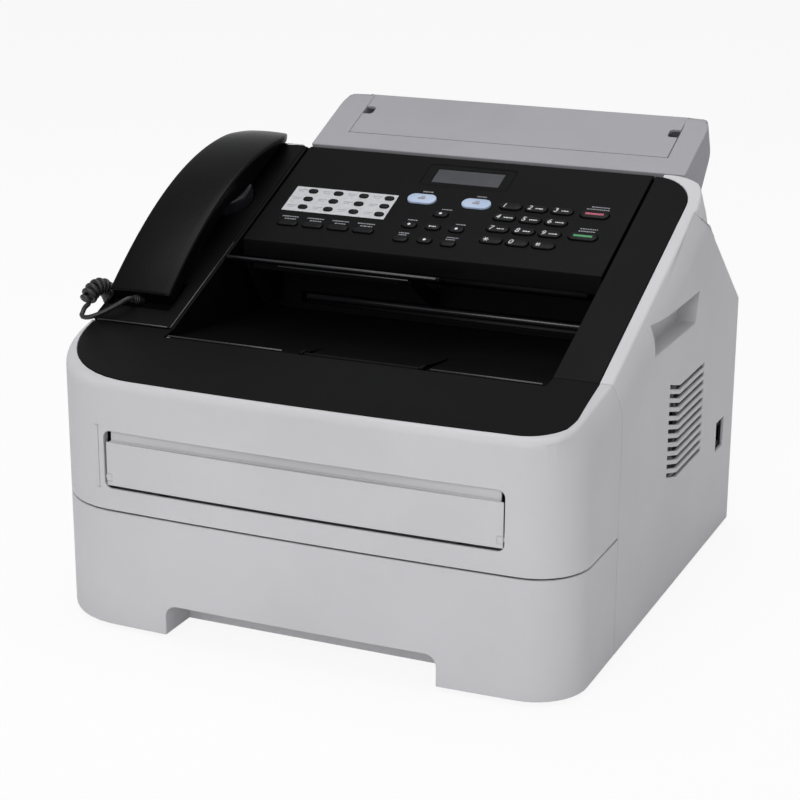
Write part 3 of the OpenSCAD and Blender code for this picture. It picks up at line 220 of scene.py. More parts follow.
# tones are the main colour, its shade and its specks; grain is its scale, depth and strength;
# rough is the middle of the roughness and its spread
plastics = {
    "whiteShell": {"tones": ("cecdd0", "c9c8cb", "b9b8bb"), "speckle": 0.25, "clouds": 9.0,
                   "grain": (1900.0, 0.00006, 0.35), "rough": (0.46, 0.10)},
    # the grey finish below is the white shells' off-white made darker: painted shade on the feeder and the
    # document support
    "greyShell": {"tones": ("a1a0a5", "9c9ba0", "8c8b90"), "speckle": 0.25, "clouds": 9.0,
                  "grain": (1900.0, 0.00006, 0.35), "rough": (0.48, 0.10)},
    "blackShell": {"tones": ("0c0c0d", "0a0a0b", "1b1b1c"), "speckle": 0.35, "clouds": 12.0,
                   "grain": (1700.0, 0.00008, 0.45), "rough": (0.38, 0.10), "gleam": 0.05},
    "blackGloss": {"tones": ("080809", "060607", "101011"), "speckle": 0.2, "clouds": 16.0,
                   "grain": (1500.0, 0.00003, 0.2), "rough": (0.27, 0.10), "gleam": 0.09},
    "darkKey": {"tones": ("0a0a0b", "080809", "131314"), "speckle": 0.3, "clouds": 60.0,
                "grain": (2600.0, 0.00003, 0.25), "rough": (0.33, 0.10), "gleam": 0.1},
    "blueKey": {"tones": ("b4c4dc", "a9bbd6", "98abc8"), "speckle": 0.2, "clouds": 70.0,
                "grain": (2600.0, 0.00002, 0.2), "rough": (0.34, 0.08)},
    "framePlastic": {"tones": ("7d7f83", "74767a", "66686c"), "speckle": 0.3, "clouds": 14.0,
                     "grain": (1200.0, 0.0001, 0.4), "rough": (0.55, 0.12)},
    "unitPlastic": {"tones": ("232427", "1d1e21", "34353a"), "speckle": 0.3, "clouds": 16.0,
                    "grain": (1300.0, 0.0001, 0.4), "rough": (0.5, 0.12)},
    # the darkest black below goes on the bars behind the exit slot, where it is painted shade
    "paintedShadeBlack": {"tones": ("070708", "050506", "0f0f10"), "speckle": 0.3, "clouds": 14.0,
                  "grain": (1500.0, 0.00008, 0.45), "rough": (0.42, 0.12), "gleam": 0.12},
    # the edge finish below is lighter than the black plastic: its colour is a painted highlight on the lips
    # and the shaft, while its gloss is real
    "paintedHighlightEdge": {"tones": ("242427", "1e1e21", "101011"), "speckle": 0.2, "clouds": 16.0,
                  "grain": (1500.0, 0.00003, 0.2), "rough": (0.24, 0.10), "gleam": 0.6},
    "cupGloss": {"tones": ("1c1c20", "18181c", "101011"), "speckle": 0.2, "clouds": 16.0,
                 "grain": (1500.0, 0.00003, 0.2), "rough": (0.2, 0.10), "gleam": 0.5},
}
for plasticName, plasticLook in plastics.items():
    mouldedPlastic(plasticName, plasticLook)


# in the finishes below a noise is its scale, detail and roughness, and a relief is its depth and strength
softGoods = {
    "rollerRubber": {"tones": ("2a2a2d", "37373a"), "mottle": (180.0, 5.0, 0.65), "grain": (2400.0, 2.0, 0.6),
                     "rough": 0.72, "spread": 0.15, "relief": (0.0001, 0.6)},
    "cordBlack": {"tones": ("1b1b1d", "242427"), "mottle": (260.0, 4.0, 0.6), "grain": (2600.0, 2.0, 0.5),
                  "rough": 0.36, "spread": 0.12, "relief": (0.00005, 0.35)},
}
metals = {
    "plateSteel": {"tones": ("a7a9ad", "8d8f94"), "rough": 0.3, "spread": 0.15},
    "fuserMetal": {"tones": ("8d8478", "6f665c"), "rough": 0.34, "spread": 0.2},
}
metalGrain = {"stretch": (0.04, 1.0, 1.0), "lines": (90.0, 5.0, 0.7), "spots": (600.0, 3.0, 0.6),
              "metallic": 0.9, "relief": (0.00004, 0.3)}
board = {"tones": ("3f7a50", "28593a"), "cells": 140.0, "track": (0.02, 0.07), "parts": (320.0, 2.0, 0.5),
         "rough": 0.38, "spread": 0.2, "relief": (0.00004, 0.5)}
glass = {"tones": ("24252c", "30313a"), "cell": "1e1f25", "cells": 1400.0, "cellShare": 0.12,
         "field": (60.0, 3.0, 0.5), "fade": (0.3, 0.75), "rough": 0.25, "spread": 0.08, "coat": 0.3,
         "coatRough": 0.08}
inks = {
    "whiteInk": {"tones": ("dedee2", "c9c9ce"), "rough": 0.45},
    "greyInk": {"tones": ("8f9096", "7d7e84"), "rough": 0.5},
    "paperLabel": {"tones": ("c6c6ca", "b6b6bb"), "rough": 0.5},
    "redInk": {"tones": ("b8506a", "a34058"), "rough": 0.4},
    "greenInk": {"tones": ("3f9a62", "328653"), "rough": 0.4},
}
inkWear = {"wear": (420.0, 4.0, 0.6), "fade": (0.35, 0.8), "grain": (3200.0, 1.0, 0.5), "spread": 0.1,
           "relief": (0.00002, 0.2)}


def softFinish(name, look):  # two tones in patches that also change the gloss, under a fine grain
    finish = Finish(name)
    mottle = finish.noise(*look["mottle"])
    grain = finish.noise(*look["grain"])
    finish.set(Base_Color=finish.mix(mottle, *map(tone, look["tones"])),
               Roughness=look["rough"] + mottle * look["spread"], Normal=finish.bump(grain, *look["relief"]))
    finishes[name] = finish.material


def metalFinish(name, look):  # rolling lines drawn out in x, with duller spots
    finish = Finish(name)
    drawn = finish.add("ShaderNodeMapping", {}, {0: finish.place, 3: metalGrain["stretch"]})
    lines = finish.noise(*metalGrain["lines"], drawn)
    spots = finish.noise(*metalGrain["spots"])
    finish.set(Base_Color=finish.mix(lines, *map(tone, look["tones"])), Metallic=metalGrain["metallic"],
               Roughness=look["rough"] + spots * look["spread"],
               Normal=finish.bump(lines, *metalGrain["relief"]))
    finishes[name] = finish.material


def boardFinish():  # a lacquered circuit board with raised tracks
    finish = Finish("boardGreen")
    paths = finish.add("ShaderNodeTexVoronoi", {"feature": "DISTANCE_TO_EDGE"},
                       {"Vector": finish.place, "Scale": board["cells"]})
    track = finish.ramp(paths, *board["track"])
    parts = finish.noise(*board["parts"])
    finish.set(Base_Color=finish.mix(track, *map(tone, board["tones"])),
               Roughness=board["rough"] + parts * board["spread"],
               Normal=finish.bump(track, *board["relief"]))
    finishes["boardGreen"] = finish.material


def glassFinish():  # the display: a dull grey-blue field of fine cells under a glossy window
    finish = Finish("displayGlass")
    cells = finish.add("ShaderNodeTexChecker", {}, {"Vector": finish.place, "Scale": glass["cells"]}, 1)
    field = finish.noise(*glass["field"])
    colour = finish.mix(finish.ramp(field, *glass["fade"]), *map(tone, glass["tones"]))
    finish.set(Base_Color=finish.mix(cells * glass["cellShare"], colour, tone(glass["cell"])),
               Roughness=glass["rough"] + field * glass["spread"], Coat_Weight=glass["coat"],
               Coat_Roughness=glass["coatRough"])
    finishes["displayGlass"] = finish.material


def inkFinish(name, look):  # printing and labels, worn in patches
    finish = Finish(name)
    wear = finish.noise(*inkWear["wear"])
    grain = finish.noise(*inkWear["grain"])
    finish.set(Base_Color=finish.mix(finish.ramp(wear, *inkWear["fade"]), *map(tone, look["tones"])),
               Roughness=look["rough"] + wear * inkWear["spread"],
               Normal=finish.bump(grain, *inkWear["relief"]))
    finishes[name] = finish.material


for looks, maker in ((softGoods, softFinish), (metals, metalFinish), (inks, inkFinish)):
    for finishName, finishLook in looks.items():
        maker(finishName, finishLook)
boardFinish()
glassFinish()
print("finishes made")

slotFinish = {"white_shell": "whiteShell", "grey_shell": "greyShell", "black_shell": "blackShell",
              "black_gloss": "blackGloss", "dark_key": "darkKey", "blue_key": "blueKey", "red_key": "darkKey",
              "green_key": "darkKey", "display": "displayGlass", "cord_black": "cordBlack",
              "roller_rubber": "rollerRubber", "frame_plastic": "framePlastic", "unit_plastic": "unitPlastic",
              "fuser_metal": "fuserMetal", "plate_steel": "plateSteel", "board_green": "boardGreen"}
nodeSlot = {part["node"]: part["material_slot"] for part in frame["record"]["subparts"]}
nodeBody = {member: bodyName for bodyName, members in frame["record"]["behaviour"]["bodies"].items()
            for member in members}
for nodeName, nodeObject in frame["nodes"].items():
    nodeObject.data.materials.clear()
    nodeObject.data.materials.append(finishes[slotFinish[nodeSlot[nodeName]]])
print("nodes dressed", len(nodeSlot), len(nodeBody))


# mesh makers
weld = 1e-6  # points closer than this become one
sliver = 1e-7


def pieceFrom(name, verts, faces, finishName, bodyName, replaced=(), smooth=True):
    mesh = bpy.data.meshes.new(name)
    mesh.from_pydata([tuple(v) for v in np.asarray(verts, float)], [], [tuple(f) for f in faces])
    work = bmesh.new()
    work.from_mesh(mesh)
    bmesh.ops.remove_doubles(work, verts=work.verts, dist=weld)
    bmesh.ops.dissolve_degenerate(work, edges=work.edges, dist=sliver)
    bmesh.ops.recalc_face_normals(work, faces=work.faces)
    work.to_mesh(mesh)
    work.free()
    return finished(name, mesh, finishName, bodyName, replaced, smooth)


def finished(name, mesh, finishName, bodyName, replaced=(), smooth=True):
    mesh.polygons.foreach_set("use_smooth", [smooth] * len(mesh.polygons))
    mesh.materials.clear()
    mesh.materials.append(finishes[finishName])
    piece = bpy.data.objects.new(name, mesh)
    bpy.context.scene.collection.objects.link(piece)
    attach(piece, bodyName)
    if replaced:
        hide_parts(*replaced)
    return piece


def gridFaces(rows, columns):  # quads of a grid whose rows are rings, so its last column joins its first
    row = np.arange(rows - 1)[:, None]
    column = np.arange(columns)[None, :]
    after = (column + 1) % columns
    a = row * columns + column
    b = row * columns + after
    return np.stack([a, b, b + columns, a + columns], -1).reshape(-1, 4).tolist()


def closedFaces(rows, columns):  # the quads between the rings, and one face at each end
    return gridFaces(rows, columns) + [list(range(columns))[::-1],
                                       list(range((rows - 1) * columns, rows * columns))]


def fullTurn(count):  # this many angles, evenly round a circle
    return np.linspace(0, 2 * math.pi, count, endpoint=False)


def turnedRings(start, ahead, profile, count):
    # circles about a line: each stands at start plus the profile's distance ahead, with the profile's radius
    side = np.cross(ahead, (0, 0, 1.0))
    side /= np.linalg.norm(side)
    up = np.cross(side, ahead)
    turns = fullTurn(count)[:, None]
    circle = np.cos(turns) * side + np.sin(turns) * up
    return np.array([start + ahead * along + radius * circle for along, radius in profile])


def ringSolid(name, rings, finishName, bodyName, replaced=(), sharp=35.0):
    # a closed form through rings of equally many points
    rows, columns = rings.shape[:2]
    piece = pieceFrom(name, rings.reshape(-1, 3), closedFaces(rows, columns), finishName, bodyName,
                      replaced)
    piece.data.set_sharp_from_angle(angle=math.radians(sharp))
    return piece


def cutLines(work, faces, point, normal):  # draws the line in which a plane crosses these faces
    lines = list(dict.fromkeys(line for face in faces for line in face.edges))
    points = list(dict.fromkeys(v for face in faces for v in face.verts))
    bmesh.ops.bisect_plane(work, geom=points + lines + faces, dist=weld, plane_co=point, plane_no=normal)


tuck = {"from": 0.170, "over": 0.014, "most": 0.0076, "drop": 0.024, "margin": 0.004,
        "seam": (-95.0, 185.442), "levels": (0.003, 0.006, 0.010, 0.015, 0.020, 0.024)}


def tuckedIn(work, lean):
    # leans the right wall's top in under a rim of this slope: most at the rim, and falling off
    # with the square of the share left of the drop
    slant = math.tan(math.radians(lean))
    foot = Vector((0, (tuck["seam"][0] + bodyShift[1]) * mm, tuck["seam"][1] * mm))
    rise = Vector((0, -slant, 1)).normalized()
    start = bodyShift[0] * mm + tuck["from"]
    for level in tuck["levels"]:
        faces = [face for face in work.faces if max(v.co.x for v in face.verts) > start - tuck["margin"]]
        cutLines(work, faces, foot - Vector((0, 0, level)), rise)
    for v in work.verts:
        below = foot.z + (v.co.y - foot.y) * slant - v.co.z
        across = clamped((v.co.x - bodyShift[0] * mm - tuck["from"]) / tuck["over"])
        if across > 0 and below < tuck["drop"]:
            v.co.x -= tuck["most"] * across * (1 - max(0.0, below) / tuck["drop"])**2


ears = {"lean": 23.5, "cut": 0.010, "along": 0.020, "reach": 0.030, "sides": 0.04, "edge": 0.0005,
        "levels": (0.001, 0.003, 0.006, 0.010, 0.013, 0.016, 0.020)}


def roundedEars(work):  # rounds the two corners at the top end of the feeder's plate to quarter ovals
    lean = math.radians(ears["lean"])
    ahead = Vector((0, math.cos(lean), math.sin(lean)))
    foot = Vector((0, 0, max(v.co.z for v in work.verts)))
    foot.y = max(v.co.y for v in work.verts if v.co.z > foot.z - ears["edge"])
    left, right = min(v.co.x for v in work.verts), max(v.co.x for v in work.verts)
    for level in ears["levels"]:
        faces = [face for face in work.faces if max(v.co.x for v in face.verts) > right - ears["sides"]
                 or min(v.co.x for v in face.verts) < left + ears["sides"]]
        cutLines(work, faces, foot - ahead * level, ahead)
    for v in work.verts:
        behind = max(0.0, (foot - v.co).dot(ahead))
        if behind < ears["along"]:
            out = min(v.co.x - left, right - v.co.x)
            share = max(0.0, 1 - out / ears["reach"])
            cut = ears["cut"] * (1 - math.sqrt(1 - (1 - behind / ears["along"])**2)) * share
            v.co.x += cut if v.co.x < (left + right) / 2 else -cut


def settled(piece, flat, limit):  # keeps the rounded edges, and brings stray points back to the flat faces
    surface = BVHTree.FromPolygons([v.co[:] for v in flat.vertices],
                                   [list(face.vertices) for face in flat.polygons])
    graph = bpy.context.evaluated_depsgraph_get()
    rounded = bpy.data.meshes.new_from_object(piece.evaluated_get(graph))
    piece.modifiers.clear()
    piece.data = rounded
    for v in rounded.vertices:
        place, _, _, far = surface.find_nearest(v.co)
        if far > limit:
            v.co = place


rounding = {"sharp": 25.0, "steps": 2, "stray": 0.0003, "shading": 60}


def softCopy(name, node, finishName, width, shoulder=None, reshape=None):
    # a copy of a moulded part with its edges rounded; shoulder gives chosen edges a wider round
    source = frame["nodes"][node]
    work = bmesh.new()
    work.from_mesh(source.data)
    bmesh.ops.remove_doubles(work, verts=work.verts, dist=weld)
    weight = work.edges.layers.float.new("bevel_weight_edge")
    widest = shoulder["width"] if shoulder else width
    for line in work.edges:
        if len(line.link_faces) == 2 and line.calc_face_angle(0) > math.radians(rounding["sharp"]):
            wide = shoulder["picks"](line) if shoulder else 0.0
            line[weight] = wide if wide else width / widest
    if reshape:
        reshape(work)
    mesh = bpy.data.meshes.new(name)
    work.to_mesh(mesh)
    work.free()
    for layer in ("custom_normal", "sharp_edge", "sharp_face"):
        if layer in mesh.attributes:
            mesh.attributes.remove(mesh.attributes[layer])
    piece = finished(name, mesh, finishName, nodeBody[node], (node,))
    bevel = piece.modifiers.new("roundedEdges", "BEVEL")
    bevel.limit_method = "WEIGHT"
    bevel.width = widest
    bevel.segments = shoulder["steps"] if shoulder else rounding["steps"]
    bevel.use_clamp_overlap = False
    bevel.loop_slide = False
    settled(piece, mesh, widest * 0.5 + rounding["stray"])
    even = piece.modifiers.new("evenShading", "WEIGHTED_NORMAL")
    even.keep_sharp = False
    even.weight = rounding["shading"]


# the handset's cord: a lead, a curly length and a lead to its jack
cordDims = {"wire": 3.4, "coil": 12.6, "pitch": 3.6, "turnPoints": 16, "funnel": 12.0, "guideSteps": 40,
            "samples": 24000, "evenOver": 401, "spacing": 2.5, "leastPitch": 0.4, "roundness": 3}
handExit = (-178.0, -72.879, 196.884)
leadRoute = [(-180, -81, 199), (-186, -88, 195), (-195, -94, 190), (-203, -97, 187), (-209, -96, 187)]
coilRoute = [(-210, -92, 190), (-210, -86, 197), (-210, -76, 202), (-210, -64, 200), (-210, -54, 188),
             (-210, -48, 164), (-210, -45, 130), (-210, -38, 98), (-210, -24, 76), (-210, -8, 70),
             (-210, 6, 76)]
tailRoute = [(-210, 13, 84), (-207, 16, 92), (-200, 15, 98), (-192, 14, 100), (-185, 14, 100)]


def smoothThrough(points, steps):
    # cubic stretches whose slope at each point is half the step between its neighbours
    p = np.array(points, float)
    last = len(p) - 1
    index = np.arange(last)
    start, end = p[index], p[index + 1]
    slopeIn = (end - p[np.maximum(index - 1, 0)]) / 2
    slopeOut = (p[np.minimum(index + 2, last)] - start) / 2
    t = (np.arange(steps) / steps)[None, :, None]
    line = ((2 * t**3 - 3 * t**2 + 1) * start[:, None] + (t**3 - 2 * t**2 + t) * slopeIn[:, None]
            + (3 * t**2 - 2 * t**3) * end[:, None] + (t**3 - t**2) * slopeOut[:, None])
    return np.vstack([line.reshape(-1, 3), p[-1:]])


def lengthsAlong(line):
    return np.concatenate([[0.0], np.cumsum(np.linalg.norm(np.diff(line, axis=0), axis=1))])


def cordLine():
    # the guide line, with a coil wound about it whose radius grows and shrinks smoothly at its two ends
    steps = cordDims["guideSteps"]
    guide = smoothThrough([handExit] + leadRoute + coilRoute + tailRoute, steps)
    along = lengthsAlong(guide)
    starts = along[steps * (1 + len(leadRoute))]
    ends = along[steps * (len(leadRoute) + len(coilRoute))]
    s = np.linspace(0.0, along[-1], cordDims["samples"])
    middle = np.stack([np.interp(s, along, guide[:, k]) for k in range(3)], 1)
    ahead = np.gradient(middle, s, axis=0)
    ahead /= np.linalg.norm(ahead, axis=1)[:, None]
    side = np.array((1.0, 0, 0)) - ahead * ahead[:, :1]
    side /= np.linalg.norm(side, axis=1)[:, None]
    other = np.cross(ahead, side)
    bend = np.linalg.norm(np.gradient(ahead, s, axis=0), axis=1)
    bend = np.convolve(bend, np.ones(cordDims["evenOver"]) / cordDims["evenOver"], "same")
    inside = np.clip(np.minimum(s - starts, ends - s) / cordDims["funnel"], 0.0, 1.0)
    grown = inside * inside * (3 - 2 * inside)
    reach = (cordDims["coil"] - cordDims["wire"]) / 2
    pitch = cordDims["pitch"] / np.clip(1 - reach * bend, cordDims["leastPitch"], 1.0)
    rate = grown * 2 * math.pi / pitch
    angle = np.concatenate([[0.0], np.cumsum((rate[1:] + rate[:-1]) / 2 * np.diff(s))])
    spoke = np.cos(angle)[:, None] * other + np.sin(angle)[:, None] * side
    line = middle + reach * grown[:, None] * spoke
    # points follow the turns and the length
    turns = angle / (2 * math.pi) * cordDims["turnPoints"] + lengthsAlong(line) / cordDims["spacing"]
    count = int(turns[-1])
    picks = np.interp(np.linspace(0, turns[-1], count), turns, np.arange(len(s)))
    return np.stack([np.interp(picks, np.arange(len(s)), line[:, k]) for k in range(3)], 1)


def makeCord():
    line = placed(cordLine())
    data = bpy.data.curves.new("handsetCord", "CURVE")
    data.dimensions = "3D"
    data.bevel_depth = cordDims["wire"] / 2 * mm
    data.bevel_resolution = cordDims["roundness"]
    data.use_fill_caps = True
    spline = data.splines.new("POLY")
    spline.points.add(len(line) - 1)
    spline.points.foreach_set("co", np.hstack([line, np.ones((len(line), 1))]).ravel())
    data.materials.append(finishes["cordBlack"])
    piece = bpy.data.objects.new("handsetCord", data)
    bpy.context.scene.collection.objects.link(piece)
    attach(piece, "machine")
    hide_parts("handset_cord", "handset_cord_coil")


makeCord()

# floor, lamps and background
studio = {"sky": 0.38, "skyTint": (0.98, 0.99, 1.0, 1), "white": (1, 1, 1, 1), "sweepFoot": 0.05,
          "sweepTop": 0.30, "floorHalf": 6.0, "floorGlow": 0.9, "aim": (0, 0, 0.12)}


def makeFloor():
    finish = Finish("studioFloor")
    cloud = finish.noise(3.0, 2.0, 0.5)
    finish.set(Base_Color=finish.mix(cloud, tone("f6f6f7"), tone("f2f2f3")), Roughness=0.9 + cloud * 0.05)
    ray = finish.add("ShaderNodeLightPath", {}, {}, "Is Camera Ray")
    glow = finish.add("ShaderNodeEmission", {}, {0: studio["white"]})
    lit = Wire(finish, finish.shader.outputs[0])
    blend = finish.add("ShaderNodeMixShader", {}, {0: ray * studio["floorGlow"], 1: lit, 2: glow})
    finish.feed(finish.output, 0, blend)
    half = studio["floorHalf"]
    mesh = bpy.data.meshes.new("studioFloor")
    corners = [(-half, -half, 0), (half, -half, 0), (half, half, 0), (-half, half, 0)]
    mesh.from_pydata(corners, [], [(0, 1, 2, 3)])
    mesh.materials.append(finish.material)
    floor = bpy.data.objects.new("studioFloor", mesh)
    bpy.context.scene.collection.objects.link(floor)


def makeSky():
    world = bpy.data.worlds.new("studioWorld")
    bpy.context.scene.world = world
    sky = Nodes(world)
    seen, clear, glossy = (sky.add("ShaderNodeLightPath", {}, {}, "Is " + kind + " Ray")
                           for kind in ("Camera", "Transmission", "Glossy"))
    # glossy rays see the white sweep near the horizon, and the dim ceiling above it
    aim = sky.add("ShaderNodeTexCoord", {}, {}, "Generated")
    height = sky.add("ShaderNodeSeparateXYZ", {}, {0: aim}, "Z")
    sweep = sky.ramp(height, studio["sweepTop"], studio["sweepFoot"])
    dim = sky.add("ShaderNodeBackground", {}, {0: studio["skyTint"], 1: studio["sky"]})
    white = sky.add("ShaderNodeBackground", {}, {0: studio["white"], 1: 1.0})
    shown = seen.atLeast(clear).atLeast(glossy * sweep)
    either = sky.add("ShaderNodeMixShader", {}, {0: shown, 1: dim, 2: white})
    sky.feed(sky.tree.nodes.new("ShaderNodeOutputWorld"), 0, either)


lamps = {
    "keyLamp": {"at": (0.15, -2.3, 1.3), "size": 1.5, "watts": 22.0},
    "topLamp": {"at": (-0.2, 0.1, 2.2), "size": 1.6, "watts": 20.0},
    "sideLamp": {"at": (2.1, -0.2, 1.0), "size": 1.2, "watts": 1.2},
}


def makeLamps():
    for name, lamp in lamps.items():
        data = bpy.data.lights.new(name, "AREA")
        data.shape = "SQUARE"
        data.size = lamp["size"]
        data.energy = lamp["watts"]
        item = bpy.data.objects.new(name, data)
        item.location = lamp["at"]
        aim = Vector(studio["aim"]) - Vector(lamp["at"])
        item.rotation_euler = aim.to_track_quat("-Z", "Y").to_euler()
        bpy.context.scene.collection.objects.link(item)


makeFloor()
makeSky()
makeLamps()
print("studio made")

# white shells
shell = {"sideShoulder": 0.003, "frontShoulder": 0.0056, "narrowShoulder": 0.0021, "rightShare": 0.4,
         "deckSlope": 8.4}
rim = {"flat": 0.85, "standing": 0.1, "centreY": -0.03, "sideFloor": 0.184, "frontFloor": 0.168,
       "sideX": 0.1795, "backY": 0.084, "narrowX": 0.19}
frontRim = {"leftEnd": 0.197, "leftOver": 0.017, "rightFrom": 0.16, "rightEnd": 0.184, "rightOver": 0.024}
middleX = bodyShift[0] * mm


def outwardTop(line, lowest):  # the middle of a top edge whose standing face looks away from the body
    normals = sorted([face.normal for face in line.link_faces], key=lambda n: n.z)
    middle = (line.verts[0].co + line.verts[1].co) / 2
    if normals[-1].z < rim["flat"] or abs(normals[0].z) > rim["standing"] or middle.z < lowest:
        return None
    inward = normals[0].x * (middle.x - middleX) + normals[0].y * (middle.y - rim["centreY"]) < 0
    return None if inward else middle


def rimEdge(line):  # the outer edge of the sloping rim, between a standing face and the slope
    middle = outwardTop(line, rim["sideFloor"])
    if middle is None or not (abs(middle.x - middleX) > rim["sideX"] or middle.y > rim["backY"]):
        return 0.0
    return shell["narrowShoulder"] / shell["sideShoulder"] if middle.x - middleX < -rim["narrowX"] else 1.0


def rightRimEdge(line):
    return shell["rightShare"] * rimEdge(line)


def frontRimEdge(line):  # the outer edge of the front cover's deck, narrow towards either side
    middle = outwardTop(line, rim["frontFloor"])
    if middle is None:
        return 0.0
    left = -(middle.x - middleX)
    share = clamped((frontRim["leftEnd"] - left) / frontRim["leftOver"])
    narrow = shell["narrowShoulder"] / shell["frontShoulder"]
    if left < -frontRim["rightFrom"]:
        share = clamped((frontRim["rightEnd"] + left) / frontRim["rightOver"])
        narrow = shell["rightShare"] * shell["sideShoulder"] / shell["frontShoulder"]
    return narrow + (1 - narrow) * share


frontRound = {"width": shell["frontShoulder"], "steps": 6, "picks": frontRimEdge}
rightRound = {"width": shell["sideShoulder"], "steps": 5, "picks": rightRimEdge}
leftRound = {"width": shell["sideShoulder"], "steps": 5, "picks": rimEdge}
shellPieces = [  # piece, node, finish, the width of its rounded edges, and what else is done to it
    ("frontCoverShell", "front_cover", "whiteShell", 0.0006, frontRound,
     lambda work: tuckedIn(work, shell["deckSlope"])),
    ("rightCoverShell", "right_cover", "whiteShell", 0.0006, rightRound,
     lambda work: tuckedIn(work, body["tilt"])),
    ("leftCoverShell", "left_cover", "whiteShell", 0.0006, leftRound),
    ("paperTrayShell", "paper_tray", "whiteShell", 0.0007),
    ("manualFeedFlap", "manual_feed_flap", "whiteShell", 0.0005),
    ("backCoverShell", "back_cover", "whiteShell", 0.0006),
    ("feederShell", "feeder_housing", "greyShell", 0.0009, None, roundedEars),
    ("documentSupport", "document_support", "greyShell", 0.0005),
    ("deckPlate", "front_cover_trim", "blackShell", 0.0006),
    ("topPlate", "top_cover", "blackShell", 0.0005),
    ("panelShell", "control_panel", "blackShell", 0.0005),
    ("documentOutputFlap", "document_output_flap", "blackShell", 0.0003),
    ("outputFlap", "output_flap", "blackShell", 0.0004),
    ("handsetCradle", "handset_cradle", "blackShell", 0.0006),
]
for shellPiece in shellPieces:
    softCopy(*shellPiece)
print("shells made")

# handset
handset = {"x": -175.0, "width": 48.0, "thick": 12.0, "thinFrom": 115, "thinOver": 45, "leastThick": 6,
           "clear": 0.8, "steps": 80, "topCorner": 1.7, "lowCorner": 3.0, "crown": 0.7, "edge": 1.3,
           "tipFrom": 0.9, "tipBy": 0.3, "probe": 0.01, "startAt": 0.012, "endTurn": 0.3, "endRings": (5, 4)}
handCurve = np.array([(25, 8), (80, 25), (160, 43), (238, 3.6)], float)
bandDims = {"cornerSteps": 6, "crownSteps": 9, "leastCorner": 0.3, "cornerShare": 0.6, "mostCorner": 2.2,
            "crownBand": 0.4}
earCup = {"x": -171.0, "s": 152.0, "floor": 8.0, "points": 72,
          "profile": ((-2.7, 20.6), (-2.4, 21.4), (-1.6, 21.9), (0.5, 22.0), (8.6, 22.0), (10.2, 21.4),
                      (11.0, 20.4))}
relief = {"points": 24, "profile": ((-4.5, 3.4), (0.8, 3.4), (1.2, 3.0), (2.4, 2.9), (2.6, 2.5),
                                    (3.8, 2.45), (4.0, 2.15), (5.6, 2.1))}


def handTop(t):  # the handset's back as a cubic curve: along the slope and out of it
    t = np.asarray(t, float)[..., None]
    a, b, c, d = handCurve
    return (1 - t)**3 * a + 3 * t * (1 - t)**2 * b + 3 * t * t * (1 - t) * c + t**3 * d


def handTurn(t):  # the curve's direction
    step = handTop(np.asarray(t) + handset["probe"]) - handTop(np.asarray(t) - handset["probe"])
    return step / np.linalg.norm(step)


def handDepth(t):  # the thickness, which smoothly grows until the ear end reaches down to the cup
    along, high = handTop(t)
    share = clamped((along - handset["thinFrom"]) / handset["thinOver"])
    share = share * share * (3 - 2 * share)
    deep = min(max(high - earCup["floor"], handset["leastThick"]), high - handset["clear"])
    return handset["thick"] + share * (deep - handset["thick"])


def bandRing(width, depth, inset):  # one cross section, its top at 0, with corners and a slight crown
    ring = []
    half, top, low = width / 2 - inset, -inset, -depth + inset
    for side, level, corner, first in ((1, top, "topCorner", 0), (-1, top, "topCorner", 90),
                                       (-1, low, "lowCorner", 180), (1, low, "lowCorner", 270)):
        radius = max(bandDims["leastCorner"], min(handset[corner] - inset * bandDims["cornerShare"],
                                                  (top - low) / bandDims["mostCorner"]))
        rise = -radius if level == top else radius
        angle = np.radians(first + 90 / (bandDims["cornerSteps"] - 1) * np.arange(bandDims["cornerSteps"]))
        ring.append(np.stack([side * (half - radius) + radius * np.cos(angle),
                              level + rise + radius * np.sin(angle)], 1))
        if level == top and side == 1:
            share = 1 - 2 * np.arange(1, bandDims["crownSteps"]) / bandDims["crownSteps"]
            ring.append(np.stack([(half - radius) * share, np.full(len(share), top)], 1))
    ring = np.concatenate(ring)
    onCrown = ring[:, 1] > top - bandDims["crownBand"]
    ring[:, 1] += onCrown * handset["crown"] * (1 - (ring[:, 0] / (width / 2))**2)
    return ring


def makeBand():  # cross sections square to the curve, drawn in round both ends
    edge = handset["edge"]
    # each station: its place on the curve, how far it is pushed along, and how far it is drawn in
    stations = [(0.0, edge * (1 - math.cos(turn)), edge * (1 - math.sin(turn)))
                for turn in np.linspace(0, math.pi / 2, handset["endRings"][0])]
    stations += [(t, 0.0, 0.0) for t in np.linspace(handset["startAt"], 1.0, handset["steps"])]
    stations += [(1.0, edge * math.sin(turn), edge * (1 - math.cos(turn)))
                 for turn in np.linspace(handset["endTurn"], math.pi / 2, handset["endRings"][1])]
    rings = []
    for t, shift, inset in stations:
        (along, high), (u0, u1) = handTop(t), handTurn(t)
        tip = max(0.0, t - handset["tipFrom"]) / (1 - handset["tipFrom"])
        ring = bandRing(handset["width"] * (1 - handset["tipBy"] * tip**2), handDepth(t), inset)
        rings.append(np.stack([handset["x"] + ring[:, 0], along + shift * u0 - ring[:, 1] * u1,
                               high + shift * u1 + ring[:, 1] * u0], 1))
    ringSolid("handsetBand", onTop(np.array(rings)), "blackGloss", nodeBody["handset"],
              ("handset",), 32.0)


def makeEarCup():  # circles on the slope, one for each height of the profile
    turns = fullTurn(earCup["points"])
    rings = [np.stack([earCup["x"] + radius * np.cos(turns), earCup["s"] + radius * np.sin(turns),
                       np.full(len(turns), high)], 1) for high, radius in earCup["profile"]]
    ringSolid("handsetEarCup", onTop(np.array(rings)), "cupGloss", nodeBody["handset"])


def makeRelief():  # the stepped sleeve round the lead where it leaves the handset
    start = np.array(handExit)
    ahead = np.array(leadRoute[0]) - start
    rings = turnedRings(start, ahead / np.linalg.norm(ahead), relief["profile"], relief["points"])
    ringSolid("cordRelief", placed(rings), "cordBlack", nodeBody["handset"])


makeBand()
makeEarCup()
makeRelief()
print("handset made")

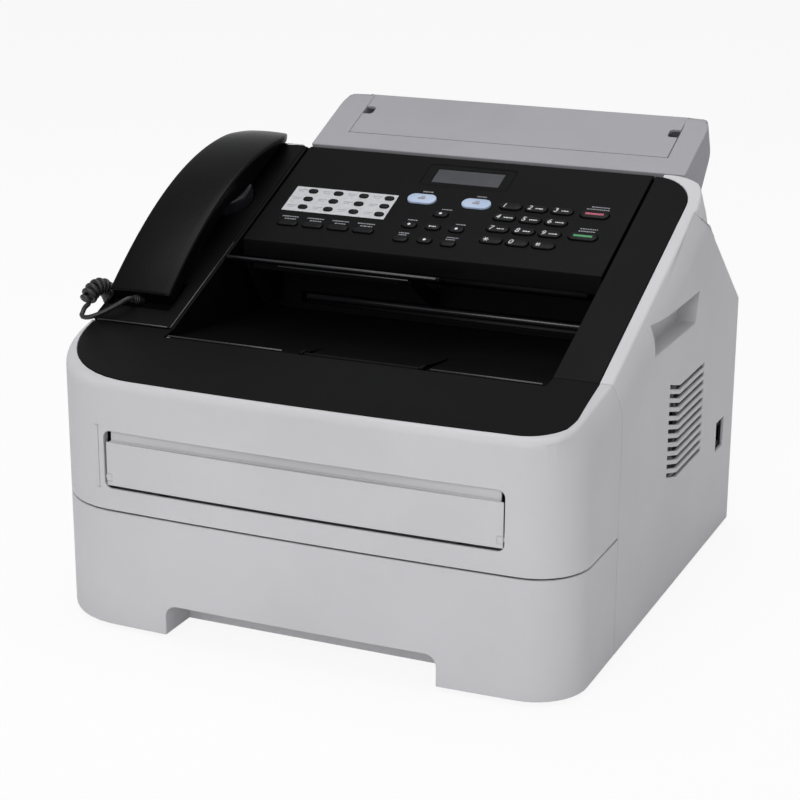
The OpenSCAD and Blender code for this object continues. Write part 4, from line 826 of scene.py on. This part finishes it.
# keys
keys = {"up": 1.0, "flange": 1.0, "low": -4.0, "under": -2.8, "dome": 0.22, "points": 12, "sharp": 38,
        "roundEdge": ((-0.55, 0.0), (-0.3, -0.07), (-0.12, -0.22), (0.0, -0.5)),
        "domeRings": ((0.6, 0.5), (1, 0.85))}
keySizes = {"touch": (7.5, 5), "function": (16, 5.5), "mode": (22, 11), "nav": (11, 6.5),
            "dial": (16.5, 7.5), "action": (21, 8.5)}
touchPlaces = [(-107 + 20.3 * c, 64 - 10 * r) for r in range(3) for c in range(4)]
functionPlaces = [(-110 + 20 * c, 23) for c in range(4)]
modePlaces = {"mode_key_fax": (-22, 67.5), "mode_key_copy": (20, 67.5)}
arrowPlaces = {"nav_up": (-1, 51), "nav_down": (-1, 19), "nav_left": (-19, 35), "nav_right": (17, 35)}
navPlaces = dict(arrowPlaces, nav_ok=(-1, 35), clear_key=(-19, 18), menu_key=(17, 18))
actionPlaces = {"stop_key": (108.4, 67.5), "start_key": (108.4, 41)}
dialNames = ["1", "2", "3", "4", "5", "6", "7", "8", "9", "star", "0", "hash"]
dialPlaces = {"dial_" + name: (46 + 19.2 * (i % 3), 68 - 13.8 * (i // 3))
              for i, name in enumerate(dialNames)}


def capRings(place, size):  # a cap with round ends: flange, body, rounded edge and a shallow dome
    straight, radius = (size[0] - size[1]) / 2, size[1] / 2
    levels = [(keys["low"], keys["flange"]), (keys["under"], keys["flange"]), (keys["under"], 0.0)]
    levels += [(keys["up"] + high, grow) for high, grow in keys["roundEdge"]]
    levels += [(keys["up"] + keys["dome"] * high, -radius * share) for high, share in keys["domeRings"]]
    half = np.linspace(-math.pi / 2, math.pi / 2, keys["points"] + 1)
    turns = np.concatenate([half, half + math.pi])
    side = np.repeat([1.0, -1.0], len(half))
    return np.array([np.stack([place[0] + side * straight + (radius + grow) * np.cos(turns),
                               place[1] + (radius + grow) * np.sin(turns), np.full(len(turns), high)], 1)
                     for high, grow in levels])


def gathered(parts):  # several lists of points and faces as one
    verts, faces = [], []
    for points, sides in parts:
        base = len(verts)
        verts += points.tolist()
        faces += [[base + v for v in face] for face in sides]
    return onPanel(np.array(verts)), faces


def joinedWords(node):  # nav_up becomes NavUp
    return "".join(word.capitalize() for word in node.split("_"))


def makeCaps(node, places, size, finishName="darkKey"):  # a cap at each place, all in one piece
    parts = []
    for place in places:
        rings = capRings(place, size)
        parts.append((rings.reshape(-1, 3), closedFaces(*rings.shape[:2])))
    name = joinedWords(node)
    verts, faces = gathered(parts)
    piece = pieceFrom(name[0].lower() + name[1:] + "Cap", verts, faces, finishName, nodeBody[node],
                      (node,))
    piece.data.set_sharp_from_angle(angle=math.radians(keys["sharp"]))


makeCaps("one_touch_keys", touchPlaces, keySizes["touch"])
makeCaps("function_keys", functionPlaces, keySizes["function"])
for node, place in modePlaces.items():
    makeCaps(node, [place], keySizes["mode"], "blueKey")
for kind, kindPlaces in (("nav", navPlaces), ("action", actionPlaces), ("dial", dialPlaces)):
    for node, place in kindPlaces.items():
        makeCaps(node, [place], keySizes[kind])
print("keys made")

# printing on the panel and the keys: plain numbers, dots, bars and unreadable dashes
ink = {"depth": 0.06, "dashLength": (0.5, 1.5), "dashDepth": (0.75, 1.0), "dashGap": 0.32, "dashEnd": 0.5,
       "dotPoints": 20, "slant": 0.2, "starHalf": 0.3, "hashBars": (0.35, 1.7, 0.5),
       "hashPosts": (0.4, 1.9, 0.55)}
cuts = np.random.default_rng(2840)  # the dashes' lengths, drawn in the order of the making


def plateOf(corners, height):  # a thin plate with the given corners, standing on the panel at a height
    corners = np.array(corners, float)
    count = len(corners)
    low = np.column_stack([corners, np.full(count, height)])
    high = np.column_stack([corners, np.full(count, height + ink["depth"])])
    faces = [list(range(count))[::-1], list(range(count, 2 * count))]
    faces += [[i, (i + 1) % count, count + (i + 1) % count, count + i] for i in range(count)]
    return np.vstack([low, high]), faces


def barOf(x, s, width, depth, height=0.0):  # a thin oblong about its middle
    return plateOf([(x - width / 2, s - depth / 2), (x + width / 2, s - depth / 2),
                    (x + width / 2, s + depth / 2), (x - width / 2, s + depth / 2)], height)


def dotOf(x, s, radius, height):  # a thin round plate
    turns = fullTurn(ink["dotPoints"])
    return plateOf(np.stack([x + radius * np.cos(turns), s + radius * np.sin(turns)], 1), height)


def dashesOf(x, s, width, depth, height=0.0):  # a row of short dashes about as long as width
    parts, at = [], x - width / 2
    while at < x + width / 2 - depth * ink["dashEnd"]:
        length = depth * cuts.uniform(*ink["dashLength"])
        parts.append(barOf(at + length / 2, s, length, depth * cuts.uniform(*ink["dashDepth"]), height))
        at += length + depth * ink["dashGap"]
    return parts


def dashRows(place, rows, height=0.0):  # each row: right of the place, up from it, its length and its depth
    return [part for right, up, width, depth in rows
            for part in dashesOf(place[0] + right, place[1] + up, width, depth, height)]


def inkPiece(name, parts, finishName, bodyName):
    verts, faces = gathered(parts)
    pieceFrom(name, verts, faces, finishName, bodyName, (), False)


def digitOf(character, x, s, size, height):  # a number as a flat mesh with a slant
    curve = bpy.data.curves.new("digitShape", "FONT")
    curve.body = character
    holder = bpy.data.objects.new("digitShape", curve)
    mesh = bpy.data.meshes.new_from_object(holder)
    points = np.array([v.co[:] for v in mesh.vertices])
    faces = [list(face.vertices) for face in mesh.polygons]
    bpy.data.objects.remove(holder)
    bpy.data.curves.remove(curve)
    bpy.data.meshes.remove(mesh)
    middle = (points.min(0) + points.max(0)) / 2
    points = (points - middle) * size
    return np.column_stack([x + points[:, 0] + ink["slant"] * points[:, 1], s + points[:, 1],
                            np.full(len(points), height)]), faces


def starOf(x, s, radius, height):  # three thin bars crossing a sixth of a turn apart
    half = ink["starHalf"]
    arm = ((-radius, -half), (radius, -half), (radius, half), (-radius, half))
    parts = []
    for turn in (0, 60, 120):
        c, d = math.cos(math.radians(turn)), math.sin(math.radians(turn))
        parts.append(plateOf([(x + a * c - b * d, s + a * d + b * c) for a, b in arm], height))
    return parts


def hashOf(x, s, size, height):  # two level bars and two upright ones
    apart, long, thick = ink["hashBars"]
    parts = [barOf(x, s + side * size * apart, size * long, thick, height) for side in (-1, 1)]
    apart, long, thick = ink["hashPosts"]
    return parts + [barOf(x + side * size * apart, s, thick, size * long, height) for side in (-1, 1)]


label = {"sheet": [(-122, 38.7), (-40.6, 38.7), (-40.6, 69), (-122, 69)],
         "rows": ((-9.2, 1.4, 7.0, 0.8), (-9.6, -0.6, 5.0, 0.7))}
legends = {"functionKey": ((-1, 8.6, 13.0, 1.25), (0, 5.7, 9.0, 1.25)),
           "modeKey": ((1, 9.2, 7.0, 1.5),),
           "panel": ((-19, 41.5, 7.0, 1.2), (18, 41.5, 7.5, 1.2), (1, 57.5, 7.0, 1.2),
                     (-19, 25.5, 8.0, 1.2), (-19.5, 23.2, 6.0, 1.2), (18, 25.5, 9.0, 1.2),
                     (17, 23.2, 7.0, 1.2)),
           "stop_key": ((1.6, 9.6, 13.0, 1.3), (0.6, 6.8, 17.0, 1.3)),
           "start_key": ((1.6, 9.6, 13.0, 1.3), (0.6, 6.8, 12.0, 1.3))}
marks = {"top": keys["up"] + keys["dome"] * 0.75, "dot": 1.15, "okDashes": (0, 0, 5.5, 1.5),
         "bar": (13.5, 2.1), "mode": ((0, -0.6, 5.4, 2.2), (0.6, 1.5, 3.4, 1.3)),
         "letters": (2.8, -0.6, 6.0, 1.1), "signLeft": 3.6, "star": 2.1, "hash": 1.9, "digitLeft": 4.2,
         "digit": 6.6}


def makeLabel():
    panelBody = nodeBody["control_panel"]
    inkPiece("keyLabel", [plateOf(label["sheet"], 0.0)], "paperLabel", panelBody)
    rows = [part for place in touchPlaces for part in dashRows(place, label["rows"], ink["depth"])]
    inkPiece("labelDashes", rows, "greyInk", panelBody)


def makeLegends():
    rows = [part for place in functionPlaces for part in dashRows(place, legends["functionKey"])]
    rows += [part for place in modePlaces.values() for part in dashRows(place, legends["modeKey"])]
    rows += dashRows((0, 0), legends["panel"])
    rows += [part for node, place in actionPlaces.items() for part in dashRows(place, legends[node])]
    inkPiece("panelLegends", rows, "greyInk", nodeBody["control_panel"])


def dialMark(name, x, s):  # the number or sign at a dial key's left, and its row of letters as dashes
    if name == "star":
        return starOf(x - marks["signLeft"], s, marks["star"], marks["top"])
    if name == "hash":
        return hashOf(x - marks["signLeft"], s, marks["hash"], marks["top"])
    parts = [digitOf(name, x - marks["digitLeft"], s, marks["digit"], marks["top"] + ink["depth"])]
    return parts if name in ("0", "1") else parts + dashRows((x, s), [marks["letters"]], marks["top"])


def makeKeyMarks():
    top = marks["top"]
    for node, (x, s) in arrowPlaces.items():
        inkPiece("dotOn" + joinedWords(node), [dotOf(x, s, marks["dot"], top)], "whiteInk", nodeBody[node])
    inkPiece("barOnNavOk", dashRows(navPlaces["nav_ok"], [marks["okDashes"]], top), "whiteInk",
             nodeBody["nav_ok"])
    for name, node, finishName, slotName in (("barOnStart", "start_key", "greenInk", "green_key"),
                                             ("barOnStop", "stop_key", "redInk", "red_key")):
        bar = barOf(*actionPlaces[node], *marks["bar"], top)
        inkPiece(name, [bar], finishName, nodeBody[node])
    for node, (x, s) in modePlaces.items():
        parts = [barOf(x + right, s + up, width, depth, top) for right, up, width, depth in marks["mode"]]
        name = "symbolOn" + joinedWords(node)[len("ModeKey"):]
        inkPiece(name, parts, "greyInk", nodeBody[node])
    for node, place in dialPlaces.items():
        name = node[len("dial_"):]
        inkPiece("markOnDial" + name.capitalize(), dialMark(name, *place), "whiteInk", nodeBody[node])


makeLabel()
makeLegends()
makeKeyMarks()
print("printing made")

# details of the paper paths, in dark plastic, with lips whose lighter colour is a painted highlight along its
# edges
barEnd = ((0, 0.55), (0.15, 0.85), (0.4, 1.0))  # along and across a rounded end, in radii
barPoints = 20
flapBody = nodeBody["document_output_flap"]
pathBars = {
    "trayLip": ("machine", "paintedHighlightEdge", 0.7, (-134.5, -106.6, 183.9), (-48, -106.6, 183.9)),
    "trayLipRight": ("machine", "paintedHighlightEdge", 0.7, (58, -106.6, 183.9), (134.5, -106.6, 183.9)),
    "cradleLip": ("machine", "paintedHighlightEdge", 0.6, (-197, -95.2, 186.3), (-141.5, -95.2, 186.3)),
    "cradleSideLip": ("machine", "paintedHighlightEdge", 0.6, (-139.3, -95.0, 185.9), (-139.3, -1.5, 226.4)),
    "flapLip": (flapBody, "paintedHighlightEdge", 1.0, (-134, -21.6, 220.9), (26, -21.6, 220.9)),
    "flapRib": (flapBody, "paintedHighlightEdge", 1.1, (-96, -17.5, 216.8), (4, -17.5, 216.8)),
    # dark bars behind the exit slot, stacked to close it, that stand in for the paper guides and paint the
    # shade inside the slot, and a roller shaft
    "exitGuideShade1": ("machine", "paintedShadeBlack", 9.0, (-112, 58, 186), (112, 58, 186)),
    "exitGuideShade2": ("machine", "paintedShadeBlack", 9.0, (-112, 62, 170), (112, 62, 170)),
    "exitGuideShade3": ("machine", "paintedShadeBlack", 8.0, (-112, 60, 200), (112, 60, 200)),
    "exitShaft": ("machine", "paintedHighlightEdge", 2.5, (-108, 52.5, 178), (108, 52.5, 178)),
}


def roundBar(name, bodyName, finishName, radius, start, end):  # a bar with a round section and rounded ends
    start, end = np.array(start, float), np.array(end, float)
    length = np.linalg.norm(end - start)
    profile = [(radius * share, radius * grow) for share, grow in barEnd]
    profile += [(length - along, across) for along, across in reversed(profile)]
    rings = turnedRings(start, (end - start) / length, profile, barPoints)
    ringSolid(name, placed(rings), finishName, bodyName)


for barName, barLook in pathBars.items():
    roundBar(barName, *barLook)
print("path details made")
